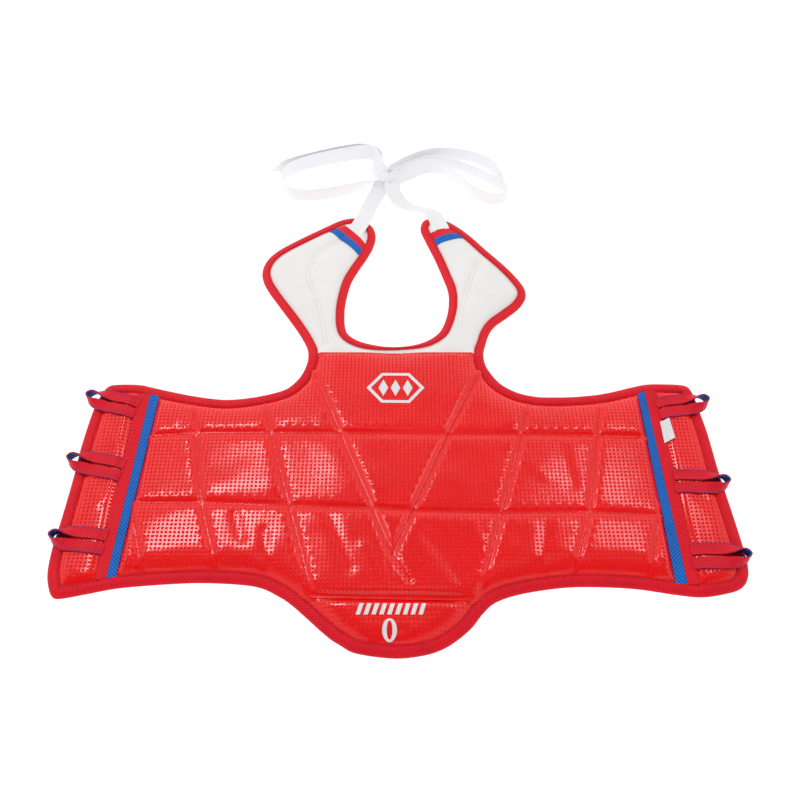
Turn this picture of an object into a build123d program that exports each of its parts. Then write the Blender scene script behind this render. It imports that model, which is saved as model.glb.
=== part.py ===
from build123d import *
import os
from math import atan2, hypot, pi, tan

# A child's reversible chest guard for taekwondo, laid flat with its red face up.
# Millimetres. +X is to the right and +Y towards the neck as seen from the red front, and
# +Z out of it; left is -X. The origin is on the back face, in the middle of the chest.
# Quilted cells of foam lie between a red outer cover and a blue back cover. The guard folds
# along its quilting lines, so each panel between two such lines is a body of its own.

# ---- heights ----
BACK_SHEET = (4.3, 4.9)
WEB = (4.9, 7.1)  # foam crushed flat under the stitches; the folds turn about its middle
OUTER_SHEET = (7.1, 7.7)
SKIN = 0.8  # cover thickness over a cell
BODY_TOP = 17.5
FLAP_TOP = 13.0
SHOULDER_TOP = 12.5

# Rise of a cell: pairs of height and how far its wall has come in there.
FULL_RISE = [(WEB[1], 0), (13.5, 3.8), (BODY_TOP, 10.5)]
FLAP_RISE = [(WEB[1], 0), (10.0, 3.5), (FLAP_TOP, 9.5)]
SHOULDER_RISE = [(WEB[1], 0), (10.0, 2.0), (SHOULDER_TOP, 6.0)]
SMALL_RISE = [(WEB[1], 0), (10.5, 3.5)]
BACK_DROP = [(WEB[0], 0), (2.2, 1.6), (0.0, 5.0)]
SMALL_DROP = [(WEB[0], 0), (2.2, 2.2)]

# ---- edges: how far cells, covers and tape keep from each kind of panel edge ----
TAPE_WIDTH = 12.0  # body binding as seen from the front
NECK_TAPE_WIDTH = 10.0
CELL_SETBACK = {"seam": 1.0, "hinge": 1.3, "bound": 12.6, "taped": 13.4}
SHEET_SETBACK = {"seam": 0.0, "hinge": 1.3, "bound": 1.6, "taped": 1.3}
TAPE_Z = (2.2, 9.8)
TAPE_SLOT_Z = (4.2, 7.8)
TAPE_FOLD = 1.2  # thickness of the tape at the folded edge
TAPE_END_SETBACK = 3.0  # the tape stops this far from a fold, so that it can fold
OVERRUN = 5.0  # how far a cutting shape runs past what it cuts
STRIP_Z = (7.8, 9.0)  # flat tapes sewn on the outer cover

# ---- quilting lines, |X| and Y ----
CHEST_LINE = [(147.7, 4.0), (79.1, -221.0)]  # chest to side panel
SIDE_LINE = [(220.8, 4.0), (167.0, -208.5)]  # side panel to wing
FLAP_LINE = [(270.0, 16.0), (278.0, -216.0)]  # wing to flap
YOKE_Y = 63.5
BIB_Y = -222.5
CROSS_1 = -44.0  # upper quilting line across the guard
CROSS_2 = -130.0  # lower quilting line across the guard
CHEST_CORNER = [(143.5, -11.0), (125.0, -4.5), (98.5, 12.0), (76.0, 12.0)]
V_CELL_TOP = [(84.5, 44.0), (84.5, YOKE_Y)]  # the V panel's cell keeps inside the binding
CHEST_V = [(90.5, YOKE_Y), (58.5, CROSS_1), (19.1, CROSS_2), (0.0, -173.0)]
V_GAP = 0.2  # between the V panel and the cover round it, on each side
V_TOP_GAP = 1.3
SHORT_LINE = [(259.0, CROSS_2), (238.0, -209.0)]  # short seam in the wing's lowest row
SMALL_CELL = [(261.0, CROSS_2), (263.5, -200.0), (239.0, -198.0)]  # three-cornered cell beside it
STRIPE = (2.0, 12.0)  # blue stripe's two edges, from the flap line towards the chest
STRIPE_END = 16.0
BAND = (2.0, 12.4)  # loop band's two edges, from the flap line towards the tip
BAND_END = 14.0

# ---- outer edges, |X| and Y, from the inside outwards ----
ARMHOLE = {
    "left": [(147.7, 4.0), (123.0, 11.0), (110.0, 22.0), (102.0, 36.0), (98.5, YOKE_Y)],
    "right": [(147.7, 4.0), (131.0, 8.0), (115.0, 18.0), (105.0, 32.0), (97.0, YOKE_Y)],
}
SIDE_TOP = {
    "left": [(177.0, -1.0), (197.0, 0.0)],
    "right": [(167.0, 2.0), (197.0, 2.0)],
}
SIDE_BOTTOM = {
    "left": [(131.0, -212.0), (111.0, -218.5)],
    "right": [(137.0, -214.5), (112.0, -219.0)],
}
WING_TOP = {"left": [(246.0, 10.0)], "right": [(246.0, 11.0)]}
WING_BOTTOM = {"left": [(222.0, -209.0)], "right": [(227.0, -213.0)]}
FLAP_TIP = {
    "left": [(301.0, 18.0), (314.0, 15.0), (326.0, -13.0), (331.0, -75.0),
             (335.5, -160.0), (334.0, -200.0), (322.0, -223.0), (296.0, -219.5)],
    "right": [(292.0, 19.0), (316.0, 15.0), (329.0, -38.0), (334.0, -109.0),
              (339.0, -165.0), (338.0, -195.0), (324.0, -215.0), (296.0, -220.0)],
}
FLAP_CELL = [(FLAP_LINE[0][0], 13.0), FLAP_LINE[1], (328.0, -215.0), (333.0, -160.0),
             (325.0, -20.0), (316.0, 11.0)]
BIB_EDGE = [(-100.0, BIB_Y), (-96.0, -232.0), (-65.0, -260.0), (-34.0, -278.0),
            (-3.0, -282.0), (30.0, -279.0), (58.0, -265.0), (82.0, -238.0), (98.0, BIB_Y)]
BIB_CELL = [(-100.0, BIB_Y), (-65.0, -256.0), (-34.0, -276.0), (-3.0, -281.0), (30.0, -277.0),
            (58.0, -261.0), (98.0, BIB_Y)]

# ---- shoulders, |X| and Y ----
SHOULDER_OUTER = {
    "left": [(98.5, YOKE_Y), (106.0, 75.0), (119.0, 102.0), (149.0, 148.0), (160.0, 180.0),
             (142.0, 215.0), (88.0, 253.0), (54.0, 272.0)],
    "right": [(97.0, YOKE_Y), (102.0, 75.0), (111.0, 99.0), (144.0, 129.0), (150.0, 150.0),
              (127.0, 192.0), (89.0, 239.0), (62.0, 264.0)],
}
SHOULDER_CELL = {
    "left": [(58.0, 66.0), (84.0, 66.0), (94.0, 82.0), (107.0, 108.0), (137.0, 154.0),
             (146.0, 180.0), (133.0, 203.0), (84.0, 240.0), (53.0, 257.0), (42.0, 250.0),
             (41.0, 226.0), (58.0, 186.0), (70.0, 152.0), (71.5, 120.0), (69.0, 96.0)],
    "right": [(57.0, 66.0), (83.0, 66.0), (91.0, 80.0), (100.0, 105.0), (117.0, 119.0),
              (133.0, 140.0), (115.0, 185.0), (79.0, 229.0), (58.0, 250.0), (45.0, 250.0),
              (46.5, 232.0), (64.0, 184.0), (72.5, 148.0), (71.0, 124.0), (67.0, 100.0)],
}
NECK = {
    "left": [(-15.0, 70.0), (-39.0, 77.0), (-53.0, 88.0), (-59.5, 110.0), (-59.5, 135.0),
             (-46.0, 182.0), (-29.0, 222.0), (-28.0, 246.0), (-38.0, 264.0)],
    "right": [(15.0, 70.0), (38.0, 79.0), (51.0, 91.0), (60.0, 122.0), (60.0, 147.0),
              (48.0, 190.0), (33.0, 232.0), (31.0, 254.0), (40.0, 270.0)],
}
NECK_BASE = (0.0, 67.5)
SHOULDER_FOOT = 47.0  # |X| of the shoulder piece's inner corner on the yoke's fold
# Red and blue tapes across each shoulder: outer and inner ends of their three edges.
SHOULDER_TAPES = {
    "left": [((62.0, 250.0), (43.0, 230.0)), ((69.5, 246.0), (46.5, 221.0)),
             ((76.0, 241.0), (50.0, 212.0))],
    "right": [((66.0, 247.0), (45.0, 240.0)), ((71.0, 239.0), (48.0, 231.0)),
              ((76.0, 231.0), (51.0, 222.0))],
}

# ---- lace loops: root and tip of each, |X| and Y ----
LOOPS = {
    "left": [((284.5, -12.5), (333.0, 0.0)), ((286.5, -87.5), (337.0, -77.0)),
             ((289.5, -167.5), (336.0, -163.0))],
    "right": [((284.5, -14.5), (334.0, -4.0)), ((287.0, -102.0), (336.5, -103.0)),
              ((290.0, -183.0), (340.5, -184.0))],
}
LOOP_TAPE = 11.5  # width of the loop's tape
LOOP_PLY = 2.0  # thickness of the red and blue tapes sewn together
LOOP_ROOT_Z = 11.0
LOOP_TOP_Z = FLAP_TOP + 0.5 + LOOP_PLY / 2
LOOP_EYE = 4.6  # inner radius of the open tip
LOOP_EYE_Z = (10.4, 20.0)
LOOP_RAMP = 7.0  # how far the loop climbs onto the flap's cell
LOOP_LEG_Y = 7.2  # each leg's distance from the loop's middle line at the root
LOOP_TURN = (0.6, 0.9)  # share of the way where a leg starts to turn on edge, and its width there

# ---- neck ties: 20 mm tape on its edge, tied in a bow; X and Y ----
TIE_WIDTH = 20.0
TIE_THICK = 1.2
KNOT = (-13.0, 339.0)
KNOT_SIZE = (24.0, 22.0, 16.0)
LEFT_TIE_LEG = [(-42.0, 266.0), (-37.0, 289.0), (-28.0, 315.0), (-15.0, 338.0)]
LEFT_TIE_LOOP = [(-15.0, 338.0), (-44.0, 328.0), (-77.0, 317.0), (-108.0, 308.0),
                 (-134.0, 314.0), (-147.0, 335.0), (-141.0, 358.0), (-118.0, 372.0),
                 (-90.0, 384.0), (-60.0, 391.0), (-35.0, 386.0), (-23.0, 366.0),
                 (-14.0, 343.0)]
LEFT_TIE_TAIL = [(-14.0, 343.0), (3.0, 364.0), (25.0, 384.0), (52.0, 396.0), (82.0, 393.0),
                 (110.0, 379.0), (129.0, 358.0), (137.0, 330.0)]
RIGHT_TIE_LEG = [(50.0, 267.0), (35.0, 283.0), (14.0, 289.0), (-1.0, 305.0), (-9.0, 336.0)]
RIGHT_TIE_LOOP = [(-9.0, 336.0), (14.0, 349.0), (38.0, 360.0), (60.0, 356.0), (76.0, 338.0),
                  (91.0, 317.0), (110.0, 301.0), (130.0, 297.0), (141.0, 311.0),
                  (131.0, 328.0), (110.0, 343.0), (93.0, 363.0), (70.0, 379.0),
                  (42.0, 378.0), (15.0, 364.0), (-10.0, 346.0)]
RIGHT_TIE_TAIL = [(-10.0, 346.0), (-17.0, 368.0), (-26.0, 391.0), (-48.0, 403.0),
                  (-78.0, 400.0), (-108.0, 388.0), (-136.0, 376.0), (-160.0, 367.0)]

LABEL = ((286.0, -31.0), (295.0, -57.0))  # care label's corners on the right flap
LABEL_Z = (FLAP_TOP + 0.1, FLAP_TOP + 0.4)

OUT = "parts"


# ---------------------------------------------------------------- plane geometry
def crossing(p, a, q, b):
    """Point where the line through p along a meets the line through q along b."""
    det = a[0] * b[1] - a[1] * b[0]
    if abs(det) < 1e-6:
        return q
    t = ((q[0] - p[0]) * b[1] - (q[1] - p[1]) * b[0]) / det
    return (p[0] + a[0] * t, p[1] + a[1] * t)


def inset(corners, setbacks):
    """Moves each edge of a closed outline inwards by its own setback."""
    n = len(corners)
    area = sum(
        corners[i][0] * corners[(i + 1) % n][1] - corners[(i + 1) % n][0] * corners[i][1]
        for i in range(n)
    )
    turn = 1 if area > 0 else -1
    lines = []
    for i in range(n):
        (x0, y0), (x1, y1) = corners[i], corners[(i + 1) % n]
        dx, dy = x1 - x0, y1 - y0
        size = hypot(dx, dy)
        nx, ny = -dy / size * turn, dx / size * turn
        lines.append(((x0 + nx * setbacks[i], y0 + ny * setbacks[i]), (dx, dy)))
    return [crossing(*lines[i - 1], *lines[i]) for i in range(n)]


def side_by(points, distance):
    """An open chain of points moved sideways, to its left if distance is positive."""
    lines = []
    for (x0, y0), (x1, y1) in zip(points, points[1:]):
        dx, dy = x1 - x0, y1 - y0
        size = hypot(dx, dy)
        lines.append(((x0 - dy / size * distance, y0 + dx / size * distance), (dx, dy)))
    (x, y), (dx, dy) = lines[-1]
    (x0, y0), (x1, y1) = points[-2:]
    last = (x + (x1 - x0), y + (y1 - y0))
    inner = [crossing(*a, *b) for a, b in zip(lines, lines[1:])]
    return [lines[0][0], *inner, last]


def shortened(points, setback):
    """An open chain with a piece of the given length cut off each end."""
    out = list(points)
    for end, near in ((0, 1), (-1, -2)):
        (x0, y0), (x1, y1) = out[end], out[near]
        t = setback / hypot(x1 - x0, y1 - y0)
        out[end] = (x0 + (x1 - x0) * t, y0 + (y1 - y0) * t)
    return out


def on_line(line, y):
    """Point of a quilting line at a given Y."""
    (x0, y0), (x1, y1) = line
    return (x0 + (x1 - x0) * (y - y0) / (y1 - y0), y)


def turn_to(line, point):
    """1 if the point lies to the left of a line's first run, or -1 if to its right."""
    (x0, y0), (x1, y1) = line[:2]
    return 1 if (x1 - x0) * (point[1] - y0) > (y1 - y0) * (point[0] - x0) else -1


def middle_of(outline):
    """Mean of an outline's corners."""
    return (sum(x for x, y in outline) / len(outline), sum(y for x, y in outline) / len(outline))


def flip(points, side):
    """Gives |X| its sign on the named side."""
    sign = -1 if side == "left" else 1
    return [(sign * x, y) for x, y in points]


# ---------------------------------------------------------------- building blocks
def shape_at(outline, height):
    """Flat face with the given corners at one height."""
    with BuildSketch(Plane.XY.offset(height)) as shape:
        with BuildLine():
            Polyline(*outline, close=True)
        make_face()
    return shape.sketch


def slab(outline, heights, mode=Mode.ADD):
    """Flat sheet between two heights, joined to the part being built or cut from it."""
    extrude(shape_at(outline, heights[0]), amount=heights[1] - heights[0], mode=mode)


def cell_block(outline, setbacks, steps, mode=Mode.ADD):
    """A quilted cell: outlines at rising heights, each further in, joined by flat walls."""
    levels = [shape_at(inset(outline, [s + step for s in setbacks]), z) for z, step in steps]
    loft(levels, ruled=True, mode=mode)


def sink(steps, skin):
    """The same cell one cover thickness smaller, which is the foam inside the cover."""
    top, low = steps[-1][0], steps[0][0]
    thinner = skin if top > low else -skin
    return [(z if z == low else z - thinner, step + skin) for z, step in steps]


def finish(part, name):
    """Labels a finished piece and writes its file."""
    part.part.label = name
    export_step(part.part, f"{OUT}/{name}.step")
    print(f"{name}: {len(part.part.solids())} solid(s), {part.part.volume / 1000:.1f} cm3")


def panel(name, outline, kinds, cells, with_cover=True):
    """Foam core, outer cover and back cover of one panel.

    outline and kinds are the panel's corners and the kind of the edge after each corner;
    each cell is its corners, its edge kinds, its rise and its drop."""
    sheet = inset(outline, [SHEET_SETBACK[k] for k in kinds])
    with BuildPart() as foam:
        slab(sheet, WEB)
        for corners, edges, rise, drop in cells:
            setbacks = [CELL_SETBACK[k] for k in edges]
            cell_block(corners, setbacks, sink(rise, SKIN))
            cell_block(corners, setbacks, sink(drop, SKIN))
    finish(foam, f"{name}_foam")
    for cover_name, heights, index in (
        (f"{name}_outer_cover", OUTER_SHEET, 2),
        (f"{name}_back_cover", BACK_SHEET, 3),
    ):
        if index == 2 and not with_cover:
            continue
        with BuildPart() as cover:
            slab(sheet, heights)
            for cell in cells:
                cell_block(cell[0], [CELL_SETBACK[k] for k in cell[1]], cell[index])
            for cell in cells:
                setbacks = [CELL_SETBACK[k] for k in cell[1]]
                cell_block(cell[0], setbacks, sink(cell[index], SKIN), mode=Mode.SUBTRACT)
        finish(cover, cover_name)


def binding(name, chains, outline, folds, width=TAPE_WIDTH):
    """Folded tape along chains of a panel's edge points: a U section that holds the covers.

    It is cut back from the panel's fold lines."""
    middle = middle_of(outline)
    with BuildPart() as tape:
        for chain in chains:
            inward = turn_to(chain, middle)
            slab([*chain, *reversed(side_by(chain, inward * width))], TAPE_Z)
        for chain in chains:
            inward = turn_to(chain, middle)
            slot = side_by(chain, inward * TAPE_FOLD)
            far = side_by(chain, inward * (width + OVERRUN))
            slab([*slot, *reversed(far)], TAPE_SLOT_Z, mode=Mode.SUBTRACT)
        for fold in folds:
            line = shortened(fold, -OVERRUN)
            away = -turn_to(line, middle)
            near = side_by(line, -away * TAPE_END_SETBACK)
            far = side_by(line, away * width)
            slab([*near, *reversed(far)], TAPE_Z, mode=Mode.SUBTRACT)
    finish(tape, name)


def strip(name, quads, heights):
    """One or more flat tapes at one height."""
    with BuildPart() as tape:
        for quad in quads:
            slab(quad, heights)
    finish(tape, name)


# ---------------------------------------------------------------- panels
def chest():
    """Chest panel between the two chest lines, with the V-shaped panel in its middle."""
    right = flip(ARMHOLE["right"], "right")
    left = flip(ARMHOLE["left"], "left")
    low_right, low_left = CHEST_LINE[1], flip([CHEST_LINE[1]], "left")[0]
    outline = [low_left, low_right, *right, *reversed(left)]
    kinds = ["hinge", "hinge", *["bound"] * 4, "hinge", *["bound"] * 4, "hinge"]
    v_right = CHEST_V
    v_left = flip(CHEST_V, "left")
    upper, lower = [on_line(CHEST_LINE, y) for y in (CROSS_1, CROSS_2)]
    outer_cells = []
    for side in ("left", "right"):
        corner = [v_right[1], upper, *CHEST_CORNER]
        corner_kinds = ["seam", "hinge", "seam", "seam", "seam", "seam"]
        middle = [v_right[2], lower, upper, v_right[1]]
        outer_cells.append((flip(corner, side), corner_kinds, FULL_RISE, BACK_DROP))
        middle_kinds = ["seam", "hinge", "seam", "seam"]
        outer_cells.append((flip(middle, side), middle_kinds, FULL_RISE, BACK_DROP))
    belly = [low_left, low_right, lower, v_right[2], v_right[3], v_left[2], (-lower[0], lower[1])]
    belly_kinds = ["hinge", "hinge", "seam", "seam", "seam", "seam", "hinge"]
    outer_cells.append((belly, belly_kinds, FULL_RISE, BACK_DROP))
    v_cells = [
        ([v_left[1], v_right[1], *V_CELL_TOP, *reversed(flip(V_CELL_TOP, "left"))],
         ["seam", "seam", "seam", "hinge", "seam", "seam"], FULL_RISE, BACK_DROP),
        ([v_left[2], v_right[2], v_right[1], v_left[1]], ["seam"] * 4, FULL_RISE, BACK_DROP),
        ([v_left[2], v_right[3], v_right[2]], ["seam"] * 3, SMALL_RISE, SMALL_DROP),
    ]
    panel("chest", outline, kinds, [*outer_cells, *v_cells], with_cover=False)

    sheet = inset(outline, [SHEET_SETBACK[k] for k in kinds])
    v_shape = [*v_left, *reversed(v_right[:3])]
    with BuildPart() as cover:
        slab(sheet, OUTER_SHEET)
        slab(inset(v_shape, [-V_GAP] * 6 + [-OVERRUN]), OUTER_SHEET, mode=Mode.SUBTRACT)
        for corners, edges, rise, drop in outer_cells:
            cell_block(corners, [CELL_SETBACK[k] for k in edges], rise)
        for corners, edges, rise, drop in outer_cells:
            setbacks = [CELL_SETBACK[k] for k in edges]
            cell_block(corners, setbacks, sink(rise, SKIN), mode=Mode.SUBTRACT)
    finish(cover, "chest_outer_cover")
    with BuildPart() as v_panel:
        slab(inset(v_shape, [V_GAP] * 6 + [V_TOP_GAP]), OUTER_SHEET)
        for corners, edges, rise, drop in v_cells:
            cell_block(corners, [CELL_SETBACK[k] for k in edges], rise)
        for corners, edges, rise, drop in v_cells:
            setbacks = [CELL_SETBACK[k] for k in edges]
            cell_block(corners, setbacks, sink(rise, SKIN), mode=Mode.SUBTRACT)
    finish(v_panel, "chest_v_panel")
    yoke_line = [(-BIB_EDGE[-1][0], YOKE_Y), (BIB_EDGE[-1][0], YOKE_Y)]
    for side, chain in (("left", left), ("right", right)):
        folds = [flip(CHEST_LINE, side), yoke_line]
        binding(f"{side}_armhole_binding", [chain], outline, folds)


def side_panel(side):
    """Panel under the arm, from the chest line to the side line."""
    top = [CHEST_LINE[0], *SIDE_TOP[side], SIDE_LINE[0]]
    low_inner = on_line(CHEST_LINE, SIDE_BOTTOM[side][-1][1])
    bottom = [SIDE_LINE[1], *SIDE_BOTTOM[side]]
    outline = flip([*bottom, low_inner, *top], side)
    kinds = ["bound", "bound", "hinge", "hinge", "bound", "bound", "bound", "hinge"]
    in_1, in_2 = [on_line(CHEST_LINE, y) for y in (CROSS_1, CROSS_2)]
    out_1, out_2 = [on_line(SIDE_LINE, y) for y in (CROSS_1, CROSS_2)]
    top_row = [in_1, out_1, SIDE_LINE[0], *reversed(SIDE_TOP[side]), CHEST_LINE[0]]
    top_kinds = ["seam", "hinge", "bound", "bound", "bound", "hinge"]
    middle_row = [in_2, out_2, out_1, in_1]
    low_row = [in_2, out_2, *bottom, low_inner]
    low_kinds = ["seam", "hinge", "bound", "bound", "bound", "hinge"]
    rows = [
        (flip(top_row, side), top_kinds, FULL_RISE, BACK_DROP),
        (flip(middle_row, side), ["seam", "hinge", "seam", "hinge"], FULL_RISE, BACK_DROP),
        (flip(low_row, side), low_kinds, FULL_RISE, BACK_DROP),
    ]
    panel(f"{side}_side", outline, kinds, rows)
    folds = [flip(CHEST_LINE, side), flip(SIDE_LINE, side)]
    binding(f"{side}_side_binding", [flip(top, side), flip(bottom, side)], outline, folds)


def wing_panel(side):
    """Wing from the side line to the flap line, with the blue stripe along the flap."""
    top = [SIDE_LINE[0], *WING_TOP[side], FLAP_LINE[0]]
    bottom = [FLAP_LINE[1], *WING_BOTTOM[side], SIDE_LINE[1]]
    outline = flip([*bottom, *top], side)
    kinds = ["bound", "bound", "hinge", "bound", "bound", "taped"]
    in_1, in_2 = [on_line(SIDE_LINE, y) for y in (CROSS_1, CROSS_2)]
    out_1, out_2 = [on_line(FLAP_LINE, y) for y in (CROSS_1, CROSS_2)]
    rows = [
        (flip([in_1, out_1, FLAP_LINE[0], SIDE_LINE[0]], side),
         ["seam", "taped", "bound", "hinge"], FULL_RISE, BACK_DROP),
        (flip([in_2, out_2, out_1, in_1], side),
         ["seam", "taped", "seam", "hinge"], FULL_RISE, BACK_DROP),
        (flip([in_2, *SHORT_LINE, SIDE_LINE[1]], side),
         ["seam", "seam", "bound", "hinge"], FULL_RISE, BACK_DROP),
        (flip(SMALL_CELL, side), ["seam"] * 3, SMALL_RISE, SMALL_DROP),
    ]
    panel(f"{side}_wing", outline, kinds, rows)
    folds = [flip(SIDE_LINE, side), flip(FLAP_LINE, side)]
    binding(f"{side}_wing_binding", [flip(top, side), flip(bottom, side)], outline, folds)
    line_tape(f"{side}_blue_stripe", side, STRIPE_END, STRIPE, outline)


def line_tape(name, side, end, edges, outline):
    """Flat tape beside the flap line, on the side of the panel whose outline is given."""
    line = shortened(flip(FLAP_LINE, side), end)
    way = turn_to(line, middle_of(outline))
    near, far = [side_by(line, way * edge) for edge in edges]
    strip(name, [[*near, *reversed(far)]], STRIP_Z)


def flap_panel(side):
    """Back flap beyond the flap line, with the tape that holds the lace loops."""
    outline = flip([*FLAP_LINE, *reversed(FLAP_TIP[side])], side)
    kinds = ["taped", *["bound"] * 9]
    cell = flip(FLAP_CELL, side)
    cell_kinds = ["taped", *["bound"] * 5]
    panel(f"{side}_flap", outline, kinds, [(cell, cell_kinds, FLAP_RISE, BACK_DROP)])
    chain = flip([FLAP_LINE[0], *FLAP_TIP[side], FLAP_LINE[1]], side)
    binding(f"{side}_flap_binding", [chain], outline, [flip(FLAP_LINE, side)])
    line_tape(f"{side}_loop_band", side, BAND_END, BAND, outline)


def lace_loop(side, number, root, tip):
    """Hairpin of tape: two flat legs that turn on edge and join in an open eye."""
    (rx, ry), (tx, ty) = flip([root, tip], side)
    size = hypot(tx - rx, ty - ry)
    along = Vector((tx - rx) / size, (ty - ry) / size, 0)
    across = Vector(-along.Y, along.X, 0)
    reach = size - LOOP_EYE - LOOP_PLY  # where the legs end and the round eye begins
    eye_mid = (LOOP_EYE_Z[0] + LOOP_EYE_Z[1]) / 2
    eye_tall = LOOP_EYE_Z[1] - LOOP_EYE_Z[0]
    wall = LOOP_EYE + LOOP_PLY / 2
    # distance along the loop, middle height, distance from the middle line, width, height
    stations = [
        (0.0, LOOP_ROOT_Z, LOOP_LEG_Y, LOOP_TAPE, LOOP_PLY),
        (LOOP_RAMP, LOOP_TOP_Z, LOOP_LEG_Y, LOOP_TAPE, LOOP_PLY),
        (LOOP_TURN[0] * reach, LOOP_TOP_Z, LOOP_LEG_Y, LOOP_TURN[1] * LOOP_TAPE, LOOP_PLY),
        (reach, eye_mid, wall, LOOP_PLY, eye_tall),
    ]
    with BuildPart() as loop:
        for way in (-1, 1):
            for distance, height, offset_y, wide, tall in stations:
                middle = Vector(rx, ry, height) + along * distance + across * (way * offset_y)
                with BuildSketch(Plane(origin=middle, x_dir=across, z_dir=along)):
                    Rectangle(wide, tall)
            loft(ruled=True)
        eye = Vector(rx, ry, LOOP_EYE_Z[0]) + along * reach
        with BuildSketch(Plane(origin=eye, x_dir=along, z_dir=(0, 0, 1))):
            Circle(LOOP_EYE + LOOP_PLY)
            Circle(LOOP_EYE, mode=Mode.SUBTRACT)
            with Locations((-2 * LOOP_EYE, 0)):
                Rectangle(4 * LOOP_EYE, 4 * LOOP_EYE, mode=Mode.SUBTRACT)
        extrude(amount=eye_tall)
    finish(loop, f"{side}_lace_loop_{number}")


def bib():
    """Belly bib below the chest, folded along its seam."""
    kinds = ["bound"] * (len(BIB_EDGE) - 1) + ["hinge"]
    cell_kinds = ["bound"] * (len(BIB_CELL) - 1) + ["hinge"]
    panel("bib", BIB_EDGE, kinds, [(BIB_CELL, cell_kinds, FULL_RISE, BACK_DROP)])
    binding("bib_binding", [BIB_EDGE], BIB_EDGE, [[BIB_EDGE[0], BIB_EDGE[-1]]])


def shoulder(side):
    """Shoulder piece with its white cover, edge tape and the two tapes across it."""
    neck = [(abs(x), y) for x, y in NECK[side][2:]]
    foot = (SHOULDER_FOOT, YOKE_Y)
    outline = flip([*SHOULDER_OUTER[side], *reversed(neck), foot], side)
    kinds = ["bound"] * (len(outline) - 1) + ["hinge"]
    cell = flip(SHOULDER_CELL[side], side)
    panel(f"{side}_shoulder", outline, kinds,
          [(cell, ["hinge"] + ["seam"] * (len(cell) - 1), SHOULDER_RISE, BACK_DROP)])
    outer = flip(SHOULDER_OUTER[side], side)
    yoke_line = flip([foot, SHOULDER_OUTER[side][0]], side)
    binding(f"{side}_shoulder_binding", [outer], outline, [yoke_line], width=NECK_TAPE_WIDTH)
    edges = [flip(pair, side) for pair in SHOULDER_TAPES[side]]
    quads = [[*a, *reversed(b)] for a, b in zip(edges, edges[1:])]
    quads = [inset(q, [0.05] * 4) for q in quads]
    strip(f"{side}_shoulder_tapes", quads, (SHOULDER_TOP + 0.1, SHOULDER_TOP + 1.1))


def neck_binding():
    """One tape round the whole neck opening, from shoulder tip to shoulder tip."""
    chain = [*reversed(NECK["left"]), NECK_BASE, *NECK["right"]]
    chain = shortened(chain, TAPE_END_SETBACK)
    outer = side_by(chain, -NECK_TAPE_WIDTH)
    lift = YOKE_Y + TAPE_END_SETBACK  # keeps clear of the yoke's fold
    outer = [(x, max(y, lift)) for x, y in outer]
    with BuildPart() as tape:
        slab([*chain, *reversed(outer)], TAPE_Z)
        slot = side_by(chain, -TAPE_FOLD)
        far = side_by(chain, -(NECK_TAPE_WIDTH + OVERRUN))
        middle = len(chain) // 2
        for part in (slice(0, middle - 1), slice(middle + 2, None)):
            slab([*slot[part], *reversed(far[part])], TAPE_SLOT_Z, mode=Mode.SUBTRACT)
    finish(tape, "neck_binding")


# ---------------------------------------------------------------- ties
def tie_radii(points):
    """Bend radius at each inner point: as large as its two runs allow."""
    radii = []
    for (x0, y0), (x1, y1), (x2, y2) in zip(points, points[1:], points[2:]):
        run = min(hypot(x1 - x0, y1 - y0), hypot(x2 - x1, y2 - y1))
        turn = atan2(y2 - y1, x2 - x1) - atan2(y1 - y0, x1 - x0)
        turn = abs((turn + pi) % (2 * pi) - pi)
        radii.append(0.45 * run / tan(turn / 2))
    return radii


def tie(name, stretches):
    """Neck tie on its edge, as a thin wall along each stretch of its route."""
    total = 0
    with BuildPart() as tape:
        for points in stretches:
            radii = tie_radii(points)
            print(f"  {name} radii: {[round(r) for r in radii]}")
            with BuildSketch():
                with BuildLine() as path:
                    FilletPolyline(*points, radius=radii)
                total += path.wire().length
                trace(line_width=TIE_THICK)
            extrude(amount=TIE_WIDTH)
    finish(tape, name)
    ratio = tape.part.volume / (total * TIE_THICK * TIE_WIDTH)
    print(f"  {name} length: {total:.0f} mm, volume over section times length: {ratio:.3f}")


def knot():
    """The bow's knot, a rounded lump of tape."""
    x, y = KNOT
    wide, deep, tall = KNOT_SIZE
    with BuildPart() as lump:
        with BuildSketch(Plane((x, y, 0.2))):
            RectangleRounded(wide, deep, 7)
        extrude(amount=tall)
        chamfer(lump.edges().filter_by(Plane.XY), 3)
    finish(lump, "tie_knot")


def main():
    """Makes every piece and writes its file."""
    os.makedirs(OUT, exist_ok=True)
    chest()
    bib()
    neck_binding()
    for side in ("left", "right"):
        side_panel(side)
        wing_panel(side)
        flap_panel(side)
        shoulder(side)
        for number, (root, tip) in enumerate(LOOPS[side], start=1):
            lace_loop(side, number, root, tip)
    (x0, y0), (x1, y1) = LABEL
    strip("care_label", [[(x0, y0), (x0, y1), (x1, y1), (x1, y0)]], LABEL_Z)
    tie("left_tie", [LEFT_TIE_LEG, LEFT_TIE_LOOP, LEFT_TIE_TAIL])
    tie("right_tie", [RIGHT_TIE_LEG, RIGHT_TIE_LOOP, RIGHT_TIE_TAIL])
    knot()


main()
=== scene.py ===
import math

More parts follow.
